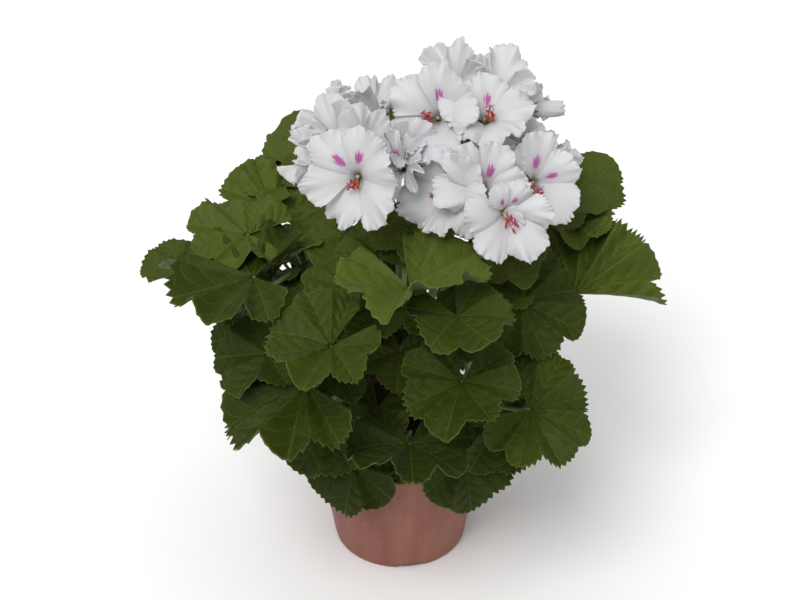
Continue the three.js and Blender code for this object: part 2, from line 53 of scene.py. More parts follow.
# Flowerpot
# A 12 cm nursery pot, injection moulded in one piece of terracotta-brown polypropylene.
# Its foot has four drain notches, and the mould leaves a fine grain and a faint flow of colour.
FOOT_RADIUS = 43 * MM
BODY_RADIUS = 55.5 * MM
BODY_HEIGHT = 81 * MM
RIM_RADIUS = 60 * MM
POT_HEIGHT = 95 * MM
POT_WALL = 1.6 * MM
POT_FLOOR = 2.4 * MM
NOTCH_WIDTH = 18 * MM
NOTCH_HEIGHT = 2.6 * MM
NOTCH_DEPTH = 9 * MM
NOTCH_TURNS = np.radians([-80, 10, 100, 190])
DRAIN_RADIUS = 4 * MM
DRAIN_FROM_CENTRE = 33 * MM
DRAIN_SIDES = 24
POT_STEP = 3 * MM
POT_COLUMNS = 256


def linear(code):
    """The linear red, green, blue and alpha of an sRGB hex colour."""
    parts = np.array([int(code[k:k + 2], 16) for k in (0, 2, 4)]) / 255
    curved = ((parts + 0.055) / 1.055) ** 2.4
    return (*np.where(parts <= 0.04045, parts / 12.92, curved).tolist(), 1.0)


def new_material(name):
    """An empty material, and the function that adds a shader node to it, with its inputs and settings. An
    input is a value, a socket or the node whose first output it takes."""
    material = bpy.data.materials.new(name)
    material.use_nodes = True
    tree = material.node_tree
    tree.nodes.clear()

    def add(kind, inputs={}, **settings):
        node = tree.nodes.new("ShaderNode" + kind)
        for key, value in settings.items():
            setattr(node, key, value)
        for key, value in inputs.items():
            source = value.outputs[0] if isinstance(value, bpy.types.Node) else value
            if isinstance(source, bpy.types.NodeSocket):
                tree.links.new(source, node.inputs[key])
            else:
                node.inputs[key].default_value = source
        return node

    return material, add


def sheet(points, closed=False, pattern=None, growth=(0, 0, 0), finish=0):
    """A grid of points, rows x columns x 3. In a closed one the last column joins the first and both ends are
    capped. pattern has two numbers a point for the UV map, growth three, and finish is the number of its
    material."""
    rows, columns = points.shape[:2]
    if pattern is None:
        pattern = np.zeros((rows, columns, 2))
    growth = np.broadcast_to(growth, (rows, columns, 3))
    return {"points": points, "closed": closed, "pattern": pattern, "growth": growth, "finish": finish}


def faces_of(points, closed):
    """The corner numbers of a sheet's four-sided faces, and of the flat caps of a closed one."""
    rows, columns = points.shape[:2]
    i, j = np.meshgrid(np.arange(rows - 1), np.arange(columns if closed else columns - 1), indexing="ij")
    k = (j + 1) % columns
    corners = [i * columns + j, i * columns + k, (i + 1) * columns + k, (i + 1) * columns + j]
    around = np.arange(columns)
    caps = [around[::-1], around + (rows - 1) * columns] if closed else []
    return np.stack(corners, -1).reshape(-1, 4), caps


def make_piece(name, sheets, materials, thickness=0.0, under=0):
    """One mesh object of the given sheets. A thickness turns open sheets into closed shells, half on each
    side, whose undersides take the material that comes under places later."""
    points, patterns, growths, corners, sizes, finishes = [], [], [], [], [], []
    start = 0
    for one in sheets:
        faces, caps = faces_of(one["points"], one["closed"])
        count = one["points"].shape[0] * one["points"].shape[1]
        points.append(one["points"].reshape(-1, 3))
        patterns.append(one["pattern"].reshape(-1, 2))
        growths.append(one["growth"].reshape(-1, 3))
        corners += [faces.ravel() + start] + [cap + start for cap in caps]
        sizes += [np.full(len(faces), 4)] + [np.array([len(cap)]) for cap in caps]
        finishes.append(np.full(len(faces) + len(caps), one["finish"]))
        start += count
    points, patterns, growths = (np.concatenate(each) for each in (points, patterns, growths))
    corners, sizes, finishes = (np.concatenate(each) for each in (corners, sizes, finishes))
    mesh = bpy.data.meshes.new(name)
    mesh.vertices.add(len(points))
    mesh.vertices.foreach_set("co", points.ravel())
    mesh.loops.add(len(corners))
    mesh.loops.foreach_set("vertex_index", corners)
    mesh.polygons.add(len(sizes))
    mesh.polygons.foreach_set("loop_start", np.concatenate([[0], np.cumsum(sizes)[:-1]]))
    mesh.polygons.foreach_set("material_index", finishes)
    mesh.uv_layers.new(name="pattern").data.foreach_set("uv", patterns[corners].ravel())
    mesh.attributes.new("growth", "FLOAT_VECTOR", "POINT").data.foreach_set("vector", growths.ravel())
    mesh.update(calc_edges=True)
    mesh.shade_smooth()
    for material in materials:
        mesh.materials.append(material)
    piece = bpy.data.objects.new(name, mesh)
    bpy.context.scene.collection.objects.link(piece)
    if thickness:
        shell = piece.modifiers.new("thickness", "SOLIDIFY")
        shell.thickness = thickness
        shell.offset = 0
        shell.material_offset = under
    return piece


def rounded(corners):
    """A profile through (radius, height, rounding) corners, each rounding a parabola from one side to the
    next."""
    corners = np.array(corners, float)
    line = [corners[0, :2]]
    t = np.linspace(0, 1, 7)[:, None]
    for before, here, after in zip(corners, corners[1:], corners[2:]):
        back = (before - here)[:2] / np.linalg.norm((before - here)[:2])
        onward = (after - here)[:2] / np.linalg.norm((after - here)[:2])
        start = here[:2] + back * here[2]
        end = here[:2] + onward * here[2]
        line += list((1 - t) ** 2 * start + 2 * t * (1 - t) * here[:2] + t ** 2 * end)
    return np.array(line + [corners[-1, :2]])


def filled(line, step):
    """The same line with points added so that none is further than step from the next."""
    gaps = np.linalg.norm(np.diff(line, axis=0), axis=1)
    counts = np.maximum(np.ceil(gaps / step).astype(int), 1)
    parts = [np.linspace(a, b, n, endpoint=False) for a, b, n in zip(line, line[1:], counts)]
    return np.concatenate(parts + [line[-1:]])


def soft_step(x, low, high):
    """0 below low, 1 above high and a smooth rise between."""
    t = np.clip((x - low) / (high - low), 0, 1)
    return t * t * (3 - 2 * t)


def turned(profile, columns):
    """The profile of (radius, height) turned once round the upright axis: rows along it, columns round it."""
    turn = np.linspace(0, 2 * np.pi, columns, endpoint=False)
    radius, height = profile[:, :1], profile[:, 1:]
    height = np.broadcast_to(height, (len(profile), columns))
    return np.stack([radius * np.cos(turn), radius * np.sin(turn), height], -1)


def pot_points():
    """The wall's outline turned round the axis. The foot's underside is lifted inside each notch's width and
    depth."""
    taper = (BODY_RADIUS - FOOT_RADIUS) / BODY_HEIGHT
    inside = FOOT_RADIUS - POT_WALL
    outline = rounded([
        (2 * MM, 0, 0),
        (FOOT_RADIUS, 0, 2.2 * MM),
        (BODY_RADIUS, BODY_HEIGHT, 0.8 * MM),
        (RIM_RADIUS - 1.2 * MM, BODY_HEIGHT + 1 * MM, 0.8 * MM),
        (RIM_RADIUS, POT_HEIGHT, 0.9 * MM),
        (RIM_RADIUS - POT_WALL, POT_HEIGHT, 0.6 * MM),
        (RIM_RADIUS - POT_WALL - 1.4 * MM, BODY_HEIGHT + 2.6 * MM, 0.8 * MM),
        (BODY_RADIUS - POT_WALL, BODY_HEIGHT, 0.8 * MM),
        (inside + taper * POT_FLOOR, POT_FLOOR + 1.6 * MM, 2 * MM),
        (2 * MM, POT_FLOOR + 1.6 * MM, 0),
    ])
    points = turned(filled(outline, POT_STEP), POT_COLUMNS)
    x, y, z = np.moveaxis(points, -1, 0)
    radius = np.hypot(x, y)
    lift = np.zeros_like(z)
    notch_start = FOOT_RADIUS - NOTCH_DEPTH
    for turn in NOTCH_TURNS:
        along = x * np.cos(turn) + y * np.sin(turn)
        across = np.abs(y * np.cos(turn) - x * np.sin(turn))
        within = soft_step(-across, -NOTCH_WIDTH / 2 - 0.5 * MM, -NOTCH_WIDTH / 2 + 0.5 * MM)
        lift = np.maximum(lift, within * soft_step(along, notch_start, notch_start + 1.5 * MM))
    underside = (z < NOTCH_HEIGHT) & (radius < FOOT_RADIUS + taper * NOTCH_HEIGHT)
    points[..., 2] = np.where(underside, np.maximum(z, lift * NOTCH_HEIGHT), z)
    return points


def polypropylene():
    """Moulded polypropylene, terracotta brown: satin, a little lighter where the mould's flow stretched
    it."""
    material, add = new_material("moulded_terracotta_polypropylene")
    place = add("TexCoord").outputs["Object"]
    broad = add("TexNoise", {"Vector": place, "Scale": 1 / (60 * MM), "Detail": 3.0})
    streaked = add("Mapping", {"Vector": place, "Scale": (1 / (14 * MM), 1 / (14 * MM), 1 / (120 * MM))})
    streaks = add("TexNoise", {"Vector": streaked, "Scale": 1.0, "Detail": 4.0})
    flow = add("Math", {0: broad, 1: streaks}, operation="ADD")
    flow_share = add("MapRange", {"Value": flow, "From Min": 0.75, "From Max": 1.3})
    brown = add("MixRGB", {"Fac": flow_share, "Color1": linear("7a473c"), "Color2": linear("926051")})
    scuffed = add("Mapping", {"Vector": place, "Rotation": (0.3, 0.5, 0.2), "Scale": (900, 900, 90)})
    scuff = add("TexNoise", {"Vector": scuffed, "Scale": 0.35, "Detail": 2.0})
    scuff_share = add("MapRange", {"Value": scuff, "From Min": 0.69, "From Max": 0.78, "To Max": 0.35})
    dust = add("TexNoise", {"Vector": place, "Scale": 1 / (9 * MM), "Detail": 5.0})
    dust_share = add("MapRange", {"Value": dust, "From Min": 0.62, "From Max": 0.8, "To Max": 0.25})
    marks = add("Math", {0: scuff_share, 1: dust_share}, operation="MAXIMUM")
    colour = add("MixRGB", {"Fac": marks, "Color1": brown, "Color2": linear("a9796a")})
    grain = add("TexNoise", {"Vector": place, "Scale": 1 / (0.9 * MM), "Detail": 2.0})
    bump = add("Bump", {"Height": grain, "Strength": 0.5, "Distance": 0.05 * MM})
    rough = add("MapRange", {"Value": broad, "To Min": 0.38, "To Max": 0.58})
    shader = add("BsdfPrincipled", {
        "Base Color": colour, "Roughness": rough, "Specular IOR Level": 0.3, "Normal": bump,
    })
    add("OutputMaterial", {"Surface": shader})
    return material


def drilled(piece, places, radius, height):
    """Cuts an upright hole at each place through the piece with one Boolean, which is applied."""
    profile = np.array([(radius, -height), (radius, height)])
    drills = [sheet(turned(profile, DRAIN_SIDES) + np.array([x, y, 0]), closed=True) for x, y in places]
    cutter = make_piece("drills", drills, [])
    cut = piece.modifiers.new("holes", "BOOLEAN")
    cut.operation = "DIFFERENCE"
    cut.object = cutter
    bpy.context.view_layer.objects.active = piece
    bpy.ops.object.modifier_apply(modifier=cut.name)
    bpy.data.objects.remove(cutter)


flowerpot = make_piece("flowerpot", [sheet(pot_points(), closed=True)], [polypropylene()])
drain_places = DRAIN_FROM_CENTRE * np.stack([np.cos(NOTCH_TURNS), np.sin(NOTCH_TURNS)], -1)
drilled(flowerpot, drain_places, DRAIN_RADIUS, 3 * POT_FLOOR)
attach(flowerpot, "root")
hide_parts("pot")


# Potting soil
# Peat with bark crumbs, filled to 12 mm below the rim. Watering has settled it into uneven
# lumps. It is matt and nearly black where it is wet.
SOIL_TOP = 83 * MM
SOIL_RADIUS = 53.2 * MM
SOIL_LUMP = 2.2 * MM
LUMP_LENGTH = 22 * MM
LUMP_SEED = 4
SOIL_STEP = 1.8 * MM
SOIL_COLUMNS = 160


def lumps(x, y, length, seed):
    """Uneven heights from about -1 to 1: sine waves at seeded headings, four sizes of them, each half the
    last."""
    dice = np.random.default_rng(seed)
    total = np.zeros_like(x)
    for size in range(4):
        for _ in range(4):
            heading, phase = dice.uniform(0, 2 * np.pi, 2)
            along = x * np.cos(heading) + y * np.sin(heading)
            total += 0.3 / 2 ** size * np.sin(along * 2 * np.pi * 2 ** size / length + phase)
    return total


def soil_points():
    """A flat plug with a rounded edge, turned round the axis, its top raised and sunk by the lumps."""
    low = POT_FLOOR + 2 * MM
    outline = rounded([
        (1 * MM, low, 0),
        (FOOT_RADIUS - 3 * MM, low, 1 * MM),
        (SOIL_RADIUS, SOIL_TOP - 3 * MM, 2 * MM),
        (SOIL_RADIUS - 2 * MM, SOIL_TOP, 1 * MM),
        (1 * MM, SOIL_TOP, 0),
    ])
    points = turned(filled(outline, SOIL_STEP), SOIL_COLUMNS)
    x, y, z = np.moveaxis(points, -1, 0)
    share = soft_step(z, SOIL_TOP - 4 * MM, SOIL_TOP)
    points[..., 2] += share * SOIL_LUMP * lumps(x, y, LUMP_LENGTH, LUMP_SEED) * 0.6
    return points


def peat():
    """Wet peat: fibres and crumbs of dark and reddish brown, fully matt, so that it only glints at a
    crumb."""
    material, add = new_material("damp_peat")
    place = add("TexCoord").outputs["Object"]
    crumbs = add("TexVoronoi", {"Vector": place, "Scale": 1 / (3 * MM)})
    fibres = add("TexNoise", {"Vector": place, "Scale": 1 / (2 * MM), "Detail": 6.0})
    height = add("Math", {0: fibres, 1: crumbs.outputs["Distance"]}, operation="SUBTRACT")
    brown = add("MixRGB", {"Fac": fibres, "Color1": linear("1c130d"), "Color2": linear("4a3524")})
    bump = add("Bump", {"Height": height, "Strength": 1.0, "Distance": 1.2 * MM})
    shader = add("BsdfPrincipled", {"Base Color": brown, "Roughness": 0.95, "Normal": bump})
    add("OutputMaterial", {"Surface": shader})
    return material


soil = make_piece("potting_soil", [sheet(soil_points(), closed=True)], [peat()])
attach(soil, "root")
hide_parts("soil")


# Stems
# Each shoot is a soft green stem that turns brown and woody at its foot. It stands in the soil
# and carries a petiole for each leaf, and two papery stipules where a petiole leaves it.
STEMS = {
    "left": [(-22, 6, 86), (-30, 9, 110), (-48, 14, 160), (-58, 16, 196)],
    "front_left": [(-16, -20, 86), (-24, -28, 108), (-42, -42, 148), (-48, -50, 182)],
    "front": [(0, -30, 86), (0, -38, 92), (2, -50, 116)],
    "front_right": [(18, -18, 86), (28, -26, 108), (42, -44, 150), (38, -58, 204)],
    "right": [(26, 6, 86), (38, 6, 110), (62, 4, 158), (76, 4, 190)],
    "centre": [(0, -6, 86), (2, -10, 120), (4, -22, 180), (2, -38, 214)],
    "top": [(6, 9, 86), (12, 18, 120), (22, 28, 180), (30, 38, 232)],
    "back_right": [(16, 20, 86), (24, 28, 108), (42, 42, 148), (56, 56, 186)],
    "back": [(0, 30, 86), (0, 38, 92), (0, 56, 150), (0, 62, 196)],
    "back_left": [(-18, 18, 86), (-28, 26, 108), (-42, 44, 150), (-40, 66, 208)],
}
# Leaves: where the petiole joins the blade (x, y, z), the way the middle vein points
# (heading, dip), roll about it, radius, cup, fold, curl, a number that turns its waves and, where
# it is not the usual, how far the blade spreads to each side
LEAVES = {
    "left": [
        (-80, 46, 222, 112, -26, 4, 38, 4, 6, -8, 1.0),
        (-94, 2, 233, 168, -5, -7, 37, 8, 6, -10, 2.0),
        (-88, -38, 229, 174, -1, 4, 56, 6, 8, -6, 0.4, 128),
        (-136, 8, 206, 178, 6, 0, 26, 8, 14, -5, 4.0),
        (-84, 18, 166, 172, 30, -6, 34, 6, 12, -12, 5.4),
        (-64, 2, 126, -178, 50, 0, 34, 4, 8, -7, 3.8),
    ],
    "front_left": [
        (-40, -100, 223, -156, -2, -8, 40, 12, 26, -14, 0.9),
        (-80, -60, 188, 170, 12, -20, 34, 8, 14, -11, 3.1),
        (-56, -82, 182, -172, 18, -8, 58, 4, 8, -10, 5.0, 120),
        (-93, -22, 172, 175, 8, -30, 25, 6, 10, -10, 2.2),
        (-45, -58, 133, -138, 44, -10, 35, 4, 10, -12, 1.7),
        (-36, -53, 169, -130, 8, -6, 25, 8, 12, -12, 2.2),
    ],
    "front": [
        (-29, -64, 104, -112, 60, 0, 32, 4, 8, -5, 0.2),
        (6, -92, 144, -88, -5, 0, 42, 12, 4, -14, 2.6),
        (0, -60, 110, -90, 50, 0, 18, 6, 10, -10, 3.3),
        (-14, -50, 138, -110, 24, 0, 24, 8, 12, -12, 1.2),
    ],
    "front_right": [
        (40, -62, 108, -72, 58, 0, 34, 4, 8, -5, 4.4),
        (58, -56, 128, -46, 38, 14, 32, 4, 10, -11, 1.1),
        (36, -106, 202, -108, 20, 0, 38, 10, 20, -10, 5.6),
        (78, -80, 161, -14, 18, 28, 40, 6, 12, -9, 3.9, 140),
        (33, -100, 244, -58, 0, 0, 34, 8, 16, -12, 0.7),
    ],
    "right": [
        (74, -28, 204, -18, 18, 26, 41, 4, 8, -9, 2.9),
        (108, -10, 197, 68, -16, 4, 59, 8, 12, -8, 1.9, 84),
        (101, 48, 225, 46, -16, 2, 31, 6, 10, -8, 0.1),
        (111, 34, 220, 24, -12, 2, 25, 6, 10, -8, 4.1),
        (76, -8, 154, -8, 26, 6, 27, 6, 12, -12, 0.9),
        (68, 0, 124, -4, 50, 0, 34, 4, 8, -7, 2.4),
    ],
    "centre": [
        (6, -78, 248, -62, -22, 0, 51, 16, 26, -16, 1.3),
        (-36, -46, 228, -140, 8, -10, 24, 8, 14, -13, 3.6),
        (-12, -14, 226, 112, -12, 0, 31, 8, 10, -13, 2.6),
        (66, -16, 229, -60, 12, 10, 24, 8, 14, -15, 5.2),
        (0, -52, 184, -96, 18, 0, 28, 8, 14, -12, 4.8),
    ],
    "top": [(60, 84, 252, 62, 0, 0, 32, 8, 14, -12, 2.7)],
    "back_right": [(114, 87, 210, 34, -18, 12, 34, 6, 10, -10, 0.5)],
    "back": [(-2, 86, 226, 92, 12, 0, 38, 8, 16, -13, 1.6)],
    "back_left": [(-60, 98, 238, 134, -4, -12, 32, 4, 8, -12, 2.4)],
}
# Small inner leaves that grow in the shade between the others, numbered in the same way but for
# their cup, fold and curl, which are the same in all
INNER_SHAPE = (8, 12, -12)
INNER_LEAVES = {
    "left": [
        (-56, 14, 220, 150, 16, 0, 29, 1.5),
        (-78, 4, 202, -176, 22, 0, 27, 2.1),
        (-62, -10, 202, -160, 16, 8, 27, 3.4),
        (-84, 30, 196, 140, 10, 0, 27, 5.1),
        (-74, 66, 228, 130, -14, 0, 28, 0.8),
    ],
    "front_left": [
        (-44, -26, 196, -140, 20, 0, 26, 0.6),
        (-64, -34, 160, -150, 34, 0, 25, 2.9),
    ],
    "centre": [
        (-14, -36, 204, -120, 16, 0, 26, 4.2),
        (-34, 8, 228, -120, 16, 0, 29, 2.5),
        (6, 0, 240, -80, 20, 0, 29, 3.2),
        (22, -30, 204, -70, 16, 0, 27, 0.9),
        (8, -30, 172, -90, 34, 0, 26, 2.2),
    ],
    "front_right": [
        (46, -42, 190, -60, 20, 0, 27, 3.7),
        (62, -34, 162, -40, 30, 0, 26, 5.6),
    ],
    "right": [
        (58, -14, 210, -50, 18, 0, 28, 1.2),
        (84, 24, 200, 40, 16, 0, 27, 4.7),
    ],
    "back": [
        (-24, 74, 190, 120, 24, 0, 27, 0.3),
        (26, 76, 186, 66, 24, 0, 27, 2.4),
    ],
    "back_left": [(-58, 56, 182, 140, 26, 0, 27, 3.9)],
    "back_right": [(62, 58, 176, 44, 26, 0, 27, 5.3)],
}
# The side away from the front repeats the front's lower and larger leaves, turned half round
TURNED = {"front_left": "back_right", "front": "back", "front_right": "back_left"}
HIGHEST_TURNED = 222
SMALLEST_TURNED = 30
USUAL_SPREAD = 155
GROWN_SIZE = 37
STEM_FOOT_RADIUS = 3.4 * MM
STEM_TIP_RADIUS = 2.4 * MM
STEM_POINTS = 28
ROOT_DEPTH = 24 * MM
ROOT_POINTS = 4
PETIOLE_RADIUS = 1.2 * MM
PETIOLE_POINTS = 18
STIPULE_LENGTH = 7 * MM
STIPULE_THICKNESS = 0.3 * MM
SIDES = 10
# The height a stem is wood up to, the one it is all green from, and the two its green pales between
WOODY_UP_TO = 84 * MM
GREEN_FROM = 135 * MM
PALING = (100 * MM, 240 * MM)


def unit(vectors):
    """The vectors at length 1."""
    return vectors / np.linalg.norm(vectors, axis=-1, keepdims=True)


def direction(heading, rise):
    """The direction at a heading round the pot and a rise above level, both in degrees."""
    h, r = np.radians([heading, rise])
    return np.array([np.cos(h) * np.cos(r), np.sin(h) * np.cos(r), np.sin(r)])


def through(points, count):
    """A smooth line through the points: cubic pieces whose slopes come from the neighbouring points."""
    points = np.array(points, float)
    knots = np.concatenate([[0], np.cumsum(np.linalg.norm(np.diff(points, axis=0), axis=1))])
    slopes = np.gradient(points, knots, axis=0)
    t = np.linspace(0, knots[-1], count)
    k = np.clip(np.searchsorted(knots, t, side="right") - 1, 0, len(points) - 2)
    span = (knots[k + 1] - knots[k])[:, None]
    h = (t - knots[k])[:, None] / span
    ends = (1 + 2 * h) * (1 - h) ** 2 * points[k] + h ** 2 * (3 - 2 * h) * points[k + 1]
    return ends + h * (1 - h) ** 2 * span * slopes[k] + h ** 2 * (h - 1) * span * slopes[k + 1]


def bezier(a, b, c, d, count):
    """A cubic curve from a to d that leaves towards b and arrives from c."""
    t = np.linspace(0, 1, count)[:, None]
    return (1 - t) ** 3 * a + 3 * t * (1 - t) ** 2 * b + 3 * t ** 2 * (1 - t) * c + t ** 3 * d


def tube(line, radii, sides=SIDES):
    """A ring of points square to the line at each of its points, of the radius given there."""
    ways = unit(np.gradient(line, axis=0))
    guide = np.eye(3)[np.abs(ways).max(0).argmin()]
    across = unit(guide - ways * (ways @ guide)[:, None])
    other = np.cross(ways, across)
    turn = np.linspace(0, 2 * np.pi, sides, endpoint=False)
    rings = across[:, None] * np.cos(turn)[:, None] + other[:, None] * np.sin(turn)[:, None]
    radii = np.broadcast_to(radii, len(line))
    return line[:, None] + rings * radii[:, None, None]


def leaf_from(shoot, numbers, fine=True):
    """A leaf's numbers by name, in metres and degrees. Young leaves have five lobes, others seven.
    One that is not fine, at the back or in the shade, gets fewer rows."""
    x, y, z, heading, dip, roll, size, cup, fold, curl, seed = numbers[:11]
    middle = direction(heading, -dip)
    level = direction(heading + 90, 0)
    up = np.cross(middle, level)
    side = level * np.cos(np.radians(roll)) + up * np.sin(np.radians(roll))
    spread = numbers[11] if len(numbers) > 11 else USUAL_SPREAD
    return {
        "shoot": shoot, "at": np.array([x, y, z]) * MM, "size": size * MM, "cup": cup, "fold": fold,
        "curl": curl, "seed": seed, "spread": np.radians(spread), "lobes": 5 if size < GROWN_SIZE else 7,
        "middle": middle, "side": side, "normal": np.cross(middle, side), "fine": fine,
    }


def petiole_line(leaf, stem):
    """The petiole leaves the stem at a slant, at the height that suits its reach, and meets the blade from
    below."""
    level = np.hypot(*(leaf["at"] - stem)[:, :2].T)
    start = stem[3 + np.abs(leaf["at"][2] - 0.5 * level - stem[:, 2])[3:].argmin()]
    length = np.linalg.norm(leaf["at"] - start)
    rising = start + 0.4 * (leaf["at"] - start) + np.array([0, 0, 0.1 * length])
    arriving = leaf["at"] - 0.3 * length * (0.5 * leaf["middle"] + 0.85 * leaf["normal"])
    return bezier(start, rising, arriving, leaf["at"], PETIOLE_POINTS)


def stipule(at, way, side, size):
    """A small pointed scale, wide near its foot: s goes to its tip, its half width is s^0.4 (1 - s), and it
    is cupped."""
    s, across = np.meshgrid(np.linspace(0.02, 0.98, 7), np.linspace(1, -1, 5), indexing="ij")
    width = 0.62 * size * s ** 0.4 * (1 - s)
    back = unit(np.cross(way, side))
    s, across, width = s[..., None], across[..., None], width[..., None]
    cupped = back * (across ** 2 * width * 0.6 + 0.2 * size * s ** 2)
    return at + way * size * s + side * across * width + cupped


leaves = [leaf_from(shoot, numbers) for shoot, rows in LEAVES.items() for numbers in rows]
for shoot, rows in LEAVES.items():
    for x, y, z, heading, dip, roll, size, *rest in rows:
        if shoot in TURNED and z <= HIGHEST_TURNED and size >= SMALLEST_TURNED:
            opposite = (-x, -y, z, heading + 180, dip, roll, size, *rest)
            leaves.append(leaf_from(TURNED[shoot], opposite, fine=False))
for shoot, rows in INNER_LEAVES.items():
    for *place, seed in rows:
        leaves.append(leaf_from(shoot, (*place, *INNER_SHAPE, seed), fine=False))
stem_lines = {name: through(points, STEM_POINTS) * MM for name, points in STEMS.items()}


def stem_skin():
    """Green stem skin: mottled and finely hairy, so that it looks soft and pale at its edges.
    The growth attribute holds how woody it is and how high it grows."""
    material, add = new_material("hairy_green_stem_skin")
    place = add("TexCoord").outputs["Object"]
    growth = add("SeparateXYZ", {0: add("Attribute", attribute_name="growth").outputs["Vector"]})
    mottle = add("TexNoise", {"Vector": place, "Scale": 1 / (6 * MM), "Detail": 4.0})
    green = add("MixRGB", {"Fac": growth.outputs[1], "Color1": linear("3f4a20"), "Color2": linear("6d7f35")})
    spotted = add("MixRGB", {"Fac": mottle, "Color1": green, "Color2": linear("586a2c")})
    colour = add("MixRGB", {"Fac": growth.outputs[0], "Color1": spotted, "Color2": linear("4b3a26")})
    hairs = add("TexNoise", {"Vector": place, "Scale": 1 / (0.7 * MM), "Detail": 3.0})
    bump = add("Bump", {"Height": hairs, "Strength": 0.7, "Distance": 0.25 * MM})
    shader = add("BsdfPrincipled", {
        "Base Color": colour, "Roughness": 0.55, "Normal": bump,
        "Sheen Weight": 0.35, "Sheen Roughness": 0.4, "Sheen Tint": linear("d5dcb8"),
    })
    add("OutputMaterial", {"Surface": shader})
    return material


def dry_scale():
    """A dried stipule: thin, papery and pale brown."""
    material, add = new_material("papery_stipule")
    place = add("TexCoord").outputs["Object"]
    fibres = add("TexNoise", {"Vector": place, "Scale": 1 / (1.5 * MM), "Detail": 4.0})
    colour = add("MixRGB", {"Fac": fibres, "Color1": linear("6c6a3c"), "Color2": linear("a39c7a")})
    bump = add("Bump", {"Height": fibres, "Strength": 0.6, "Distance": 0.2 * MM})
    shader = add("BsdfPrincipled", {"Base Color": colour, "Roughness": 0.8, "Normal": bump})
    add("OutputMaterial", {"Surface": shader})
    return material


skin = stem_skin()
scale_skin = dry_scale()
for name, line in stem_lines.items():
    root = np.linspace(line[0] - [0, 0, ROOT_DEPTH], line[0], ROOT_POINTS, endpoint=False)
    whole = np.concatenate([root, line])
    share = np.linspace(0, 1, len(line))
    thinning = np.concatenate([np.zeros(ROOT_POINTS), share])
    radii = STEM_FOOT_RADIUS + (STEM_TIP_RADIUS - STEM_FOOT_RADIUS) * thinning
    wood = soft_step(-whole[:, 2], -GREEN_FROM, -WOODY_UP_TO)
    height = soft_step(whole[:, 2], *PALING)
    growth = np.stack([wood, height, height], -1)[:, None]
    stem_sheets = [sheet(tube(whole, radii), closed=True, growth=growth)]
    scale_sheets = []
    for leaf in leaves:
        if leaf["shoot"] != name:
            continue
        petiole = petiole_line(leaf, line)
        radii = PETIOLE_RADIUS * (1 + 0.5 * np.linspace(1, 0, PETIOLE_POINTS) ** 3)
        height = soft_step(petiole[:, 2], *PALING)
        growth = np.stack([0 * height, height, height], -1)[:, None]
        stem_sheets.append(sheet(tube(petiole, radii, 8), closed=True, growth=growth))
        way = unit(petiole[2] - petiole[0])
        sideways = unit(np.cross(way, [0, 0, 1]))
        for turn in (-1, 1):
            foot = petiole[0] + turn * 1.6 * MM * sideways
            lean = unit(way * 0.5 + turn * 0.5 * sideways + np.array([0, 0, 0.7]))
            scale_sheets.append(sheet(stipule(foot, lean, unit(np.cross(lean, way)), STIPULE_LENGTH)))
    for kind, sheets, material, thickness in (
        ("stems", stem_sheets, skin, 0),
        ("stipules", scale_sheets, scale_skin, STIPULE_THICKNESS),
    ):
        piece = make_piece(f"{kind}_{name}", sheets, [material], thickness)
        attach(piece, "root")
        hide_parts("shoot_" + name)


# Leaves
# Rounded, shallowly lobed blades with a fine toothed margin. They are pleated along the veins that
# fan out of the petiole, soft and finely hairy above, and paler with raised veins below.
BLADE_THICKNESS = 0.5 * MM
TEETH = 8
COLUMNS_PER_TOOTH = 2
BLADE_ROWS = 17
PLAINER_ROWS = 12
SIDE_VEINS = 5.5


